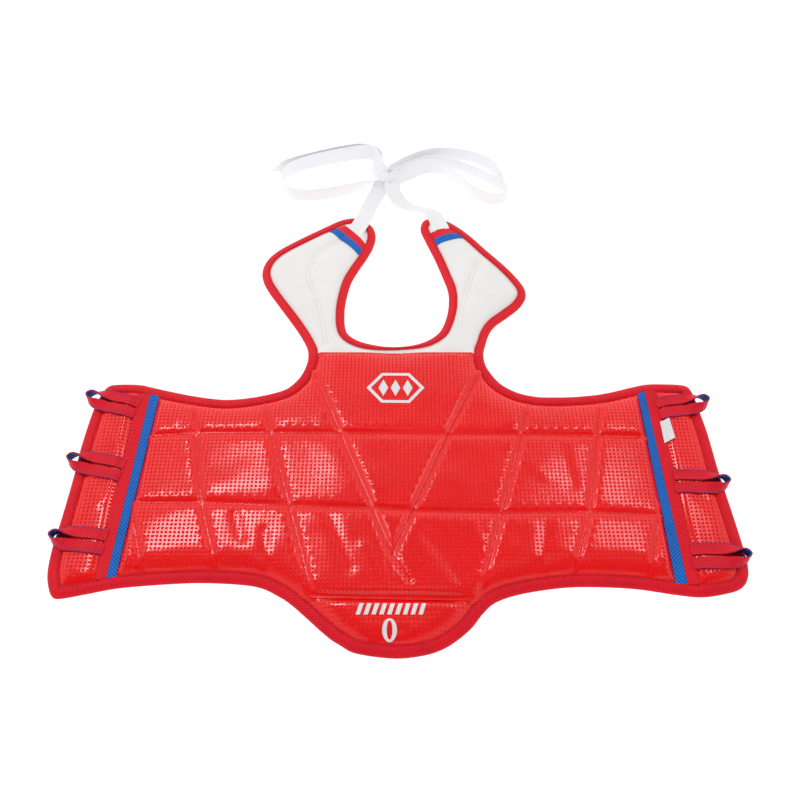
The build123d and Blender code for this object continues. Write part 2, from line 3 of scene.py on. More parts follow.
import bmesh
import bpy
import numpy as np
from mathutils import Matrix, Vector


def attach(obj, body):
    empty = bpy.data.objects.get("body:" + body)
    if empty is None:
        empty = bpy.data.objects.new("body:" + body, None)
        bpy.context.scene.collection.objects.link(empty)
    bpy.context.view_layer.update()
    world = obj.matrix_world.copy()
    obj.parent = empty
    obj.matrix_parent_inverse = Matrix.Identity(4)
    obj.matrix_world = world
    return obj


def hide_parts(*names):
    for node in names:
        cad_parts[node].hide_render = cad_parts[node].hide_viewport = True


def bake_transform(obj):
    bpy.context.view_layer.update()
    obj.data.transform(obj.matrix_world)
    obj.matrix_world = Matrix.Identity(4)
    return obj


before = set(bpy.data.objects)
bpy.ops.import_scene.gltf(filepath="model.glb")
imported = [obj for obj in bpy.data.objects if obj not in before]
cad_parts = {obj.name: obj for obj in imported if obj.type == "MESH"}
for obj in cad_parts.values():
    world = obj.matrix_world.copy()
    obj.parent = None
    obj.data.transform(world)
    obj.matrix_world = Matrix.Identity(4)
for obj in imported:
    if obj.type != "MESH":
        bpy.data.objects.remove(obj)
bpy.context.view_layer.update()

# A child's reversible taekwondo chest guard, laid flat. Metres; MM turns millimetres into them.
# Left is -X. Plan points are X and Y in millimetres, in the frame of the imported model. They follow
# the guard as it lies in the photo and are written out here, so they don't change with the part.
MM = 0.001
SEED = 11

# ---------------------------------------------------------------- design values
STEP = 2.0  # spacing of the covers' mesh
HINGE_Z = 6.0
EDGE_TOP = 8.2  # height of the outer cover under the edge tape
SEAM_TOP = 15.0  # height of the outer cover at its quilting stitches
SEAM_BACK = 4.0
BODY_TOP = 17.6
FLAP_TOP = 11.8
SHOULDER_TOP = 12.4
BINDING = 12.0  # visible width of the folded tape on the body
NECK_BINDING = 10.0
TIE_WIDTH = 20.0
TIE_THICK = 0.9
TIE_POINT = 16.0  # a tie narrows to a point over this length at its free end
SIDES = {"left": -1, "right": 1}

CHEST_LINE = ((147.7, 4.0), (79.1, -221.0))
SIDE_LINE = ((220.8, 4.0), (167.0, -208.5))
FLAP_LINE = ((270.0, 16.0), (278.0, -216.0))
FOLD = 12.0  # half width of the cloth that bends at a fold
YOKE_Y = 63.5
YOKE_FOLD = 8.0
RED_TOP = 58.8  # where the red cover meets the white shoulder pieces
BIB_Y = -222.5
BIB_FOLD = 8.0
BIB_REACH = 116.0  # below the bib's seam, the body's cloth lies within this |X|

LEFT_SHOULDER = [(-40, 263), (-51, 268), (-68, 265), (-88, 253), (-118, 233), (-142, 215),
                 (-155, 199), (-160, 182), (-158, 167), (-149, 148), (-119, 102), (-107, 82),
                 (-100, 67)]
LEFT_BODY = [(-98.5, 55), (-100, 44), (-104, 32), (-111, 21), (-123, 11), (-149, 3),
             (-177, -1), (-197, 0), (-226, 5), (-259, 13), (-279, 18), (-301, 18.5),
             (-313, 16), (-319, 5), (-324, -15), (-328, -60), (-328.5, -90), (-331, -140),
             (-333.5, -170), (-333, -196), (-329, -212), (-323, -222), (-315, -223.5),
             (-292, -219), (-261, -213), (-214, -209), (-183, -208), (-150, -209.5),
             (-128, -213), (-111, -221), (-96, -231), (-65, -258)]
BIB = [(-51, -267.5), (-36, -275), (-3, -279.5), (22, -277.5), (40, -272.5), (55, -264),
       (70, -251.5)]
RIGHT_BODY = [(81, -238), (94, -227), (118, -219), (156, -213), (188, -212), (227, -214),
              (266, -220), (289, -222), (314, -218), (327, -213), (335, -203), (337.5, -188),
              (336.5, -165), (332.5, -120), (329.5, -87), (327, -44), (323.5, -15), (320, 8),
              (313, 17), (290, 19), (271, 18.5), (252, 14), (234, 9), (215, 5), (190, 2.5),
              (167, 2), (149, 3), (131, 8), (115, 18), (105, 31), (98.5, 45), (97, 60)]
RIGHT_SHOULDER = [(100, 73), (105, 88), (113, 100), (127, 112), (142, 126), (150, 140),
                  (150, 154), (141, 172), (127, 192), (108, 215), (89, 239), (73, 255),
                  (58, 265)]
NECK = [(41, 267), (32, 262), (29, 249), (34, 232), (45, 202), (54, 173), (60, 150),
        (60, 128), (56, 108), (49, 91), (38, 80), (22, 72.5), (3, 69), (-16, 70),
        (-39, 76), (-53, 85), (-58.5, 97), (-60, 116), (-59, 135), (-54, 162), (-46, 182),
        (-36, 202), (-28, 222), (-26, 239), (-30, 253)]
OUTLINE = LEFT_SHOULDER + LEFT_BODY + BIB + RIGHT_BODY + RIGHT_SHOULDER + NECK

# Quilting seams of the outer cover.
CROSS_1 = [(-259, -52), (-208, -48), (-134, -47.5), (-59, -47.5), (59, -49.5), (134, -50),
           (209, -51.5), (260, -53)]
CROSS_2 = [(-262, -128), (-190, -128), (-106, -131), (-19, -134), (19, -137), (107, -139),
           (190, -138), (264, -142)]
CHEST_SEAM = [(144.5, 6), (125, -68), (106, -131), (80, -218)]
SIDE_SEAM = [(219, 2), (208, -50), (192.5, -130), (168, -204)]
SHORT_SEAM = [(262, -128), (250, -168), (239, -206)]
LEFT_V = [(-94, 38), (-59.3, -45), (-24, -132), (-3.9, -182.5)]
RIGHT_V = [(95, 40), (54.5, -46.5), (19, -130), (-3.9, -182.5)]
V_STRIP = 6.5  # width of the lapped strip on the inner side of each V line
YOKE_SEAM = [(-92, RED_TOP), (92, RED_TOP)]
BIB_SEAM = [(-97, BIB_Y - 0.6), (96, BIB_Y - 4.4)]
LEFT_QUILT = [(-65, 231), (-91, 210), (-103, 188), (-104, 168), (-96, 145), (-87, 113),
              (-79, 70)]
RIGHT_QUILT = [(99, 196), (92, 180), (81, 146), (75, 122), (71, 92)]
# |X| at the top and at the bottom of the blue stripe's two edges and the red band's outer edge.
TAPED = {"left": ((254.5, 266.0), (265.3, 275.2), (276.8, 284.7)),
         "right": ((259.8, 264.0), (267.9, 275.8), (278.7, 286.2))}
TAPED_TOP, TAPED_BOTTOM = 14.0, -212.0

# Creases of the outer cover: line, height and half width.
CREASES = [
    ([(-190, -112), (-130, -114)], 0.9, 16.0),
    ([(0, -186), (13, -210)], -1.5, 3.5), ([(-8, -186), (-4, -208)], 0.8, 4.0),
    ([(-114, -32), (-66, -22)], 0.4, 6.0), ([(-22, -262), (6, -256)], -1.1, 5.0),
    ([(26, -263), (46, -257)], -0.8, 4.5), ([(-66, -140), (-44, -196)], -1.0, 7.0),
    ([(-30, -176), (-14, -214)], 0.8, 7.0), ([(30, -160), (62, -208)], -0.9, 8.0),
    ([(72, -150), (84, -180)], 0.7, 8.0), ([(-158, -140), (-150, -166)], -0.9, 6.0),
    ([(-128, -160), (-124, -196)], -0.9, 6.0), ([(146, -148), (140, -192)], -0.9, 6.0),
    ([(168, -60), (176, -108)], -0.6, 8.0), ([(118, -62), (150, -98)], 0.5, 9.0),
    ([(-206, -60), (-200, -104)], -0.5, 7.0), ([(-40, -70), (-20, -112)], 0.5, 8.0),
    ([(-226, -14), (-222, -38)], -0.7, 5.0), ([(128, -12), (122, -34)], 0.6, 7.0),
    ([(300, -110), (312, -128)], -0.8, 5.0), ([(-306, -40), (-292, -58)], 0.7, 5.0),
    ([(-312, -104), (-296, -126)], 0.8, 6.0), ([(-318, -186), (-296, -200)], 0.7, 6.0),
    ([(-112, 108), (-90, 128)], -0.6, 4.0), ([(-128, 150), (-104, 160)], 0.6, 5.0),
    ([(-120, 196), (-96, 176)], -0.5, 5.0), ([(96, 150), (118, 138)], 0.6, 5.0),
    ([(70, 190), (92, 214)], -0.5, 5.0), ([(-84, 82), (-74, 110)], 0.5, 4.0),
]

LOOPS = {
    "left": [((284.5, -12.5), (330.5, -1)), ((286.5, -87.5), (335, -77.5)),
             ((289.5, -167.5), (335, -163))],
    "right": [((284.5, -14.5), (332, -7)), ((287, -102), (334.5, -104.5)),
              ((290, -183), (338.5, -183.5))],
}
LOOP_TAPE = 11.5
LOOP_PLY = 0.9
# Ends of the line that the red shoulder tape's outer edge lies on, then the blue one's inner edge.
SHOULDER_TAPES = {"left": ((-66, 253.5), (-35.5, 220), (-85, 245), (-43, 202)),
                  "right": ((74, 251), (39, 240), (90, 236), (46, 220))}
# Threads: pitch, length and thickness.
V_STITCH = (2.9, 1.9, 0.5)
BIB_STITCH = (2.9, 1.7, 0.5)
SEAM_STITCH = (3.1, 1.6, 0.75)
EDGE_STITCH = (3.1, 1.9, 0.5)
SHOULDER_STITCH = (2.6, 1.9, 0.45)
LOOP_STITCH = (3.2, 2.2, 0.6)

# ---- neck ties: X, Y, height of the middle line, and roll of the tape in degrees. The first two
# heights of each are replaced by ones that rest on the shoulder's cover. ----
LEFT_TIE = [
    (-53.5, 233.5, 12.9, 0), (-47, 249, 13.2, 0), (-39, 267, 11.8, 0), (-35, 290, 4.0, -4),
    (-26, 313, 4.5, 8), (-15, 334, 10.0, 50), (-44, 323, 10.0, 80), (-77, 312, 10.0, 84),
    (-110, 304, 10.4, 85), (-138, 309, 10.6, 88), (-149, 331, 10.6, 90), (-142, 352, 10.6, 90),
    (-120, 364, 10.4, 84), (-90, 375, 10.4, 82), (-60, 383, 10.2, 80), (-34, 388, 9.8, 70),
    (-24, 377, 9.0, 50), (-27, 356, 8.5, 44), (-14, 340, 9.0, 55), (3, 357, 9.0, 62),
    (25, 373, 9.5, 74), (52, 384, 10.2, 92), (82, 382, 10.4, 98), (110, 371, 10.6, 98),
    (130, 352, 10.6, 94), (137, 324, 10.4, 90),
]
RIGHT_TIE = [
    (55, 244, 13.2, 0), (51, 256, 13.2, 0), (47, 270, 11.6, 6), (34, 284, 8.0, 30),
    (14, 288, 5.0, 22), (-1, 304, 4.0, 2), (-9, 334, 9.0, 20), (14, 349, 8.5, 54),
    (38, 361, 9.4, 78), (60, 356, 10.2, 90), (76, 338, 10.4, 92), (91, 317, 10.6, 95),
    (110, 301, 10.6, 98), (130, 296, 10.6, 96), (143, 308, 10.6, 90), (130, 328, 10.6, 84),
    (104, 345, 10.4, 80), (78, 362, 10.4, 79), (50, 373, 10.2, 78), (22, 366, 9.8, 70),
    (-10, 343, 9.0, 74), (-18, 366, 8.0, 80), (-27, 388, 9.0, 88), (-48, 391.5, 10.2, 94),
    (-78, 383.5, 10.4, 95), (-108, 373.5, 10.4, 94), (-136, 364, 10.2, 92), (-161, 351, 9.8, 90),
]
KNOT = (-12.5, 337.0, 9.0)
KNOT_SIZE = (8.2, 9.0, 7.2)  # half sizes
KNOT_TURN = 0.5  # radians, on the floor


# ---------------------------------------------------------------- plane geometry
def smooth_line(points, step, closed=False):
    """Points at an even spacing on a Catmull-Rom curve through the given ones."""
    p = np.array(points, float)
    n = len(p)
    fine = []
    spans = n if closed else n - 1
    for i in range(spans):
        if closed:
            a, b, c, d = p[i - 1], p[i], p[(i + 1) % n], p[(i + 2) % n]
        else:
            a, b, c, d = p[max(i - 1, 0)], p[i], p[i + 1], p[min(i + 2, n - 1)]
        t = np.linspace(0, 1, 12, endpoint=False)[:, None]
        fine.append(0.5 * (2 * b + (c - a) * t + (2 * a - 5 * b + 4 * c - d) * t**2
                           + (3 * b - a - 3 * c + d) * t**3))
    fine.append(p[:1] if closed else p[-1:])
    fine = np.concatenate(fine)
    return even_points(fine, step)


def even_points(points, step):
    """The same polyline resampled at an even spacing."""
    along = lengths(points)
    count = max(2, int(round(along[-1] / step)) + 1)
    s = np.linspace(0, along[-1], count)
    return np.stack([np.interp(s, along, points[:, k]) for k in range(points.shape[1])], 1)


def lengths(points):
    """Distance along a polyline at each of its points."""
    size = np.linalg.norm(np.diff(points, axis=0), axis=1)
    return np.concatenate([[0], np.cumsum(size)])


def unit(vectors):
    """Each row of an array, scaled to length 1."""
    return vectors / np.linalg.norm(vectors, axis=1)[:, None]


def directions(points):
    """Unit direction of a line at each of its points."""
    return unit(np.gradient(points, axis=0))


def turned_left(plan):
    """Each plan direction, turned a quarter turn to the left."""
    return np.stack([-plan[:, 1], plan[:, 0]], 1)


def smoothed(values, times):
    """Values averaged with their neighbours, with the two ends kept."""
    for _ in range(times):
        values[1:-1] = (values[:-2] + 2 * values[1:-1] + values[2:]) / 4
    return values


def mirror(points):
    """The same plan points on the other side of the guard."""
    return [(-x, y) for x, y in points]


def distance_to(x, y, line):
    """Distance from each point to a polyline, and how far along the line that is."""
    best = np.full(x.shape, 1e9)
    where = np.zeros(x.shape)
    run = 0.0
    for (ax, ay), (bx, by) in zip(line, line[1:]):
        dx, dy = bx - ax, by - ay
        size = math.hypot(dx, dy)
        t = np.clip(((x - ax) * dx + (y - ay) * dy) / (size * size + 1e-12), 0, 1)
        d = np.hypot(x - ax - dx * t, y - ay - dy * t)
        closer = d < best
        best = np.where(closer, d, best)
        where = np.where(closer, run + t * size, where)
        run += size
    return best, where


def inside(x, y, polygon):
    """True for each point inside a closed outline."""
    odd = np.zeros(x.shape, bool)
    for (ax, ay), (bx, by) in zip(polygon, np.roll(polygon, -1, axis=0)):
        if ay == by:
            continue
        over = (ay > y) != (by > y)
        odd ^= over & (x < (bx - ax) * (y - ay) / (by - ay) + ax)
    return odd


def bumps(shape, cell, seed):
    """Smooth random field of about -1 to 1, with lumps of the given number of grid steps."""
    rng = np.random.default_rng(seed)
    rows, cols = shape[0] // cell + 3, shape[1] // cell + 3
    coarse = rng.uniform(-1, 1, (rows, cols))
    u = np.arange(shape[0]) / cell
    v = np.arange(shape[1]) / cell
    i, j = u.astype(int), v.astype(int)
    fu, fv = u - i, v - j
    fu, fv = (fu * fu * (3 - 2 * fu))[:, None], (fv * fv * (3 - 2 * fv))[None, :]
    a, b = coarse[np.ix_(i, j)], coarse[np.ix_(i, j + 1)]
    c, d = coarse[np.ix_(i + 1, j)], coarse[np.ix_(i + 1, j + 1)]
    return a * (1 - fu) * (1 - fv) + b * (1 - fu) * fv + c * fu * (1 - fv) + d * fu * fv


# ---------------------------------------------------------------- the covers' shape
OUTLINE_LINE = smooth_line(OUTLINE, 4.0, closed=True)
SEAMS = [CROSS_1, CROSS_2, CHEST_SEAM, mirror(CHEST_SEAM), SIDE_SEAM, mirror(SIDE_SEAM),
         SHORT_SEAM, mirror(SHORT_SEAM)]
V_SEAMS = [LEFT_V, RIGHT_V]
SHOULDER_SEAMS = [LEFT_QUILT, RIGHT_QUILT]


class Grid:
    """Heights of both covers on an even grid over the whole guard."""

    def __init__(self):
        self.x0, self.y0 = -350.0, -292.0
        self.nx, self.ny = int(700 / STEP) + 1, int(576 / STEP) + 1
        xs = self.x0 + STEP * np.arange(self.nx)
        ys = self.y0 + STEP * np.arange(self.ny)
        self.x, self.y = np.meshgrid(xs, ys)
        d, _ = distance_to(self.x, self.y, np.vstack([OUTLINE_LINE, OUTLINE_LINE[:1]]))
        within = inside(self.x, self.y, OUTLINE_LINE)
        self.edge = np.where(within, d, -d)  # distance inwards from the outline
        self.top = self.solve_top()
        self.relief = self.emboss_share()
        self.back = self.solve_back()

    def relax(self, target, reach, pins, times):
        """Height of a cover that puffs up to target and is held down at its pins."""
        a = 4 * (reach / STEP) ** 2
        z = target.copy()
        hold = sum(w for w, _ in pins)
        pull = sum(w * h for w, h in pins)
        for _ in range(times):
            f = np.pad(z, 1, mode="edge")
            near = (f[:-2, 1:-1] + f[2:, 1:-1] + f[1:-1, :-2] + f[1:-1, 2:]) / 4
            z = (a * near + target + pull) / (a + 1 + hold)
        return z

    def solve_top(self):
        """Height of the outer cover: puffed cells, held down at seams, tapes and edges."""
        x, y = self.x, self.y
        full = np.full(x.shape, BODY_TOP)
        out = np.clip((np.abs(x) - 284) / 6, 0, 1)
        full += (FLAP_TOP - full) * out
        up = np.clip((y - RED_TOP + 2) / 5, 0, 1)
        full += (SHOULDER_TOP - full) * up
        full += 0.55 * bumps(x.shape, 26, SEED) + 0.25 * bumps(x.shape, 12, SEED + 1)
        thin = 26.0 + (12.0 - 26.0) * np.maximum(out, up)  # how far in the foam thins out
        share = np.clip((self.edge - 9.0) / thin, 0, 1)
        target = EDGE_TOP + (full - EDGE_TOP) * np.sin(share * math.pi / 2) ** 0.8
        band = self.taped_band(x, y)
        rise = 9.8 + 0.45 * np.maximum(band, 0)  # the flap climbs slowly away from the loop band
        target = np.where(np.abs(x) > 270, np.minimum(target, rise), target)
        target = np.where(self.edge < 9, EDGE_TOP, target)
        hold = np.where(y > RED_TOP, 8.0, 9.0)
        pins = [(900.0 / (1 + np.exp((self.edge - hold) / 0.5)), EDGE_TOP)]
        for line in SEAMS:
            d, _ = distance_to(x, y, line)
            pins.append((60 * np.exp(-((d / 1.5) ** 2)), np.minimum(SEAM_TOP, target - 1.0)))
        for line in V_SEAMS:
            d, _ = distance_to(x, y, line)
            pins.append((60 * np.exp(-((d / 1.5) ** 2)), SEAM_TOP + 0.2))
        for line, high in ((YOKE_SEAM, 11.4), (BIB_SEAM, 12.4)):
            d, _ = distance_to(x, y, line)
            pins.append((160 * np.exp(-((d / 1.8) ** 2)), np.minimum(high, target)))
        for line in SHOULDER_SEAMS:
            d, _ = distance_to(x, y, smooth_line(line, 6))
            pins.append((14 * np.exp(-((np.abs(d - 2.0) / 1.2) ** 2)), target - 1.6))
        pins.append((160 / (1 + np.exp(band / 0.5)), np.minimum(9.4, target)))
        z = self.relax(target, 2.1, pins, 300)
        z += self.puckers()
        return z

    def taped_band(self, x, y):
        """Signed distance outside the taped seam between wing and flap."""
        share = np.clip((TAPED_TOP - y) / (TAPED_TOP - TAPED_BOTTOM), 0, 1)
        far = np.full(x.shape, 1e3)
        for side, sign in SIDES.items():
            inner, _, outer = [a + (b - a) * share for a, b in TAPED[side]]
            d = np.abs(sign * x - (inner + outer) / 2) - (outer - inner) / 2
            far = np.minimum(far, d)
        return far

    def puckers(self):
        """Small gathers of the cover across its stitched lines, and a few longer creases."""
        x, y = self.x, self.y
        total = np.zeros(x.shape)
        wander = 2.5 * bumps(x.shape, 14, SEED + 2)
        for k, line in enumerate(SEAMS + V_SEAMS):
            d, s = distance_to(x, y, line)
            wave = np.sin(s * 2 * math.pi / 11.0 + wander + k)
            total += 0.17 * wave * np.exp(-(((d - 5.5) / 3.6) ** 2))
        fine = bumps(x.shape, 5, SEED + 3)
        total += 0.04 * fine
        for line, high, wide in CREASES:
            d, _ = distance_to(x, y, line)
            total += high * np.exp(-((d / wide) ** 2))
        free = np.clip((self.edge - 10) / 6, 0, 1)
        return total * free

    def emboss_share(self):
        """How strong the embossing is: pulled flat along the seams and the edges."""
        near = np.maximum(self.edge - 13.0, 0)
        for line in SEAMS + V_SEAMS + [YOKE_SEAM, BIB_SEAM]:
            near = np.minimum(near, distance_to(self.x, self.y, line)[0])
        near = near + 0.8 * bumps(near.shape, 12, SEED + 9)
        share = np.clip((near - 2.0) / 6.0, 0, 1)
        return 0.22 + 0.78 * share * share * (3 - 2 * share)

    def solve_back(self):
        """Height of the back cover, flattened where it lies on the floor."""
        x, y = self.x, self.y
        target = np.full(x.shape, -2.5)
        pins = [(900.0 / (1 + np.exp((self.edge - 10.5) / 0.5)), SEAM_BACK)]
        for line in SEAMS + V_SEAMS + [YOKE_SEAM, BIB_SEAM]:
            d, _ = distance_to(x, y, line)
            pins.append((300 * np.exp(-((d / 1.8) ** 2)), SEAM_BACK))
        for line in (FLAP_LINE, mirror(FLAP_LINE)):
            d, _ = distance_to(x, y, line)
            pins.append((300 * np.exp(-((d / 2.0) ** 2)), SEAM_BACK))
        z = self.relax(target, 7.0, pins, 500)
        floor = 0.25 + 0.12 * bumps(x.shape, 10, SEED + 5)
        return floor + np.log1p(np.exp(np.clip((z - floor) * 2.2, -30, 30))) / 2.2

    def at(self, field, x, y):
        """Value of a grid field at any points, between the four nodes round each."""
        u = np.clip((np.asarray(x) - self.x0) / STEP, 0, self.nx - 1.001)
        v = np.clip((np.asarray(y) - self.y0) / STEP, 0, self.ny - 1.001)
        i, j = u.astype(int), v.astype(int)
        fu, fv = u - i, v - j
        return (field[j, i] * (1 - fu) * (1 - fv) + field[j, i + 1] * fu * (1 - fv)
                + field[j + 1, i] * (1 - fu) * fv + field[j + 1, i + 1] * fu * fv)

    def normals(self, field, points, sign):
        """Unit normals of a cover at points of its mesh, in metres."""
        gy, gx = np.gradient(field, STEP)
        x, y = points[:, 0] / MM, points[:, 1] / MM
        n = np.stack([-self.at(gx, x, y), -self.at(gy, x, y), np.ones(len(points))], 1)
        return sign * unit(n)


# ---------------------------------------------------------------- meshes
def add_object(name, data):
    """New object in the scene."""
    obj = bpy.data.objects.new(name, data)
    bpy.context.scene.collection.objects.link(obj)
    return obj


def copy_of(obj, name):
    """A copy of an object, with a mesh of its own."""
    piece = obj.copy()
    piece.data = obj.data.copy()
    piece.name = name
    bpy.context.scene.collection.objects.link(piece)
    return piece


def edit_mesh(obj, change):
    """Runs a change on an object's mesh as a bmesh."""
    bm = bmesh.new()
    bm.from_mesh(obj.data)
    change(bm)
    bm.to_mesh(obj.data)
    bm.free()
    return obj


def shade_smooth(obj, smooth=True):
    """Sets all of an object's faces to smooth shading, or to flat."""
    obj.data.polygons.foreach_set("use_smooth", [smooth] * len(obj.data.polygons))


def orient(obj):
    """Turns a mesh's faces the same way, outwards."""
    edit_mesh(obj, lambda bm: bmesh.ops.recalc_face_normals(bm, faces=bm.faces))


def tube_faces(rings, turns, base=0):
    """Quads round a tube made of rings of points, counted from base."""
    faces = []
    for i in range(rings - 1):
        for j in range(turns):
            a, b = base + i * turns + j, base + i * turns + (j + 1) % turns
            faces.append((a, b, b + turns, a + turns))
    return faces


def end_faces(rings, turns, base=0):
    """The two faces that close a tube's ends."""
    last = base + (rings - 1) * turns
    return [tuple(range(base + turns - 1, base - 1, -1)), tuple(range(last, last + turns))]


def new_object(name, verts, faces, uvs=None, smooth=True):
    """Object from points in metres, with faces and one UV per point, also in metres."""
    mesh = bpy.data.meshes.new(name)
    mesh.from_pydata([tuple(v) for v in verts], [], [tuple(f) for f in faces])
    if uvs is not None:
        layer = mesh.uv_layers.new(name="cloth")
        loops = np.zeros(len(mesh.loops), np.int32)
        mesh.loops.foreach_get("vertex_index", loops)
        layer.data.foreach_set("uv", np.asarray(uvs, np.float32)[loops].ravel())
    obj = add_object(name, mesh)
    shade_smooth(obj, smooth)
    return obj


def cut(obj, planes):
    """Keeps the part of a mesh on the inner side of each (point, outward normal), in mm."""
    def trim(bm):
        for (px, py), (nx, ny) in planes:
            bmesh.ops.bisect_plane(
                bm, geom=bm.verts[:] + bm.edges[:] + bm.faces[:], dist=1e-7,
                plane_co=(px * MM, py * MM, 0), plane_no=(nx, ny, 0), clear_outer=True)
        loose = [v for v in bm.verts if not v.link_faces]
        bmesh.ops.delete(bm, geom=loose, context="VERTS")

    return edit_mesh(obj, trim)


def joined(name, parts):
    """One object from several, with doubled points welded."""
    bm = bmesh.new()
    for part in parts:
        bm.from_mesh(part.data)
    bmesh.ops.remove_doubles(bm, verts=bm.verts[:], dist=1e-6)
    mesh = bpy.data.meshes.new(name)
    bm.to_mesh(mesh)
    bm.free()
    for part in parts:
        bpy.data.objects.remove(part)
    return add_object(name, mesh)


def paint(obj, material):
    """Gives an object its one material."""
    obj.data.materials.clear()
    obj.data.materials.append(material)
    return obj


# ---------------------------------------------------------------- regions between folds
def fold_plane(line, side, shift):
    """Plane along a fold line, moved outwards by shift; its normal points outwards."""
    sign = SIDES[side]
    (x0, y0), (x1, y1) = line
    tangent = Vector((sign * (x1 - x0), y1 - y0)).normalized()
    normal = Vector((-tangent.y, tangent.x))
    if normal.x * sign < 0:
        normal = -normal
    middle = Vector((sign * (x0 + x1) / 2, (y0 + y1) / 2)) + normal * shift
    return (middle.x, middle.y), (normal.x, normal.y)


def flipped(plane):
    """The same plane with its other side outwards."""
    (p, (nx, ny)) = plane
    return p, (-nx, -ny)


def wall(axis, value, outward):
    """Plane at one X or Y, with the outward side above or below it."""
    if axis == "x":
        return (value, 0), (outward, 0)
    return (0, value), (0, outward)


def regions():
    """Each region's lists of planes, and the joint whose cloth it bends across, if any."""
    chest_folds = [fold_plane(CHEST_LINE, s, -FOLD) for s in SIDES]
    bib_ends = {s: fold_plane(CHEST_LINE, s, FOLD) for s in SIDES}
    out = {
        "chest": {"cuts": [chest_folds + [wall("y", YOKE_Y - YOKE_FOLD, 1),
                                          wall("y", BIB_Y + BIB_FOLD, -1)]],
                  "ride": "chest"},
        "bib": {"cuts": [[wall("y", BIB_Y, 1), *bib_ends.values()],
                         chest_folds + [wall("y", BIB_Y + BIB_FOLD, 1), wall("y", BIB_Y, -1)]],
                "blend": ("chest", "bib", (0, BIB_Y + BIB_FOLD), (0, BIB_Y - BIB_FOLD))},
        "yoke": {"cuts": [[wall("y", YOKE_Y - YOKE_FOLD, -1)]],
                 "blend": ("chest", "yoke", (0, YOKE_Y - YOKE_FOLD), (0, YOKE_Y + YOKE_FOLD))},
    }
    for side, sign in SIDES.items():
        chain = (("side", CHEST_LINE, SIDE_LINE, "chest"),
                 ("wing", SIDE_LINE, FLAP_LINE, f"{side}_side"),
                 ("flap", FLAP_LINE, None, f"{side}_wing"))
        for name, inner, outer, parent in chain:
            planes = [flipped(fold_plane(inner, side, -FOLD))]
            if outer:
                planes.append(fold_plane(outer, side, -FOLD))
            start = fold_plane(inner, side, -FOLD)[0]
            end = fold_plane(inner, side, FOLD)[0]
            cuts = [planes]
            if name == "side":
                planes += [wall("y", BIB_Y, -1), wall("y", YOKE_Y - YOKE_FOLD, 1)]
                # the corner of cloth beyond the bib's end folds with the side panel
                cuts.append([flipped(bib_ends[side]), wall("y", BIB_Y, 1),
                             wall("x", sign * BIB_REACH, sign)])
            out[f"{side}_{name}"] = {"cuts": cuts,
                                     "blend": (parent, f"{side}_{name}", start, end)}
    return out


REGIONS = regions()


def settle(obj, region):
    """Parents a finished piece to its region's body where the region rides on one, and otherwise
    bakes its placement into its mesh.
    """
    place = REGIONS[region]
    if "ride" in place:
        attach(obj, place["ride"])
        return obj
    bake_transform(obj)
    return obj


def fasten(obj, body=None, region=None, nodes=()):
    """Sets a finished piece's body or region, and hides the CAD nodes that it stands for."""
    if body:
        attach(obj, body)
    else:
        settle(obj, region)
    if nodes:
        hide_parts(*nodes)
    return obj


def cut_to(obj, region, name):
    """The part of a whole-guard mesh that lies in one region."""
    parts = [cut(copy_of(obj, f"{name}_{number}"), planes)
             for number, planes in enumerate(REGIONS[region]["cuts"])]
    return joined(name, parts)


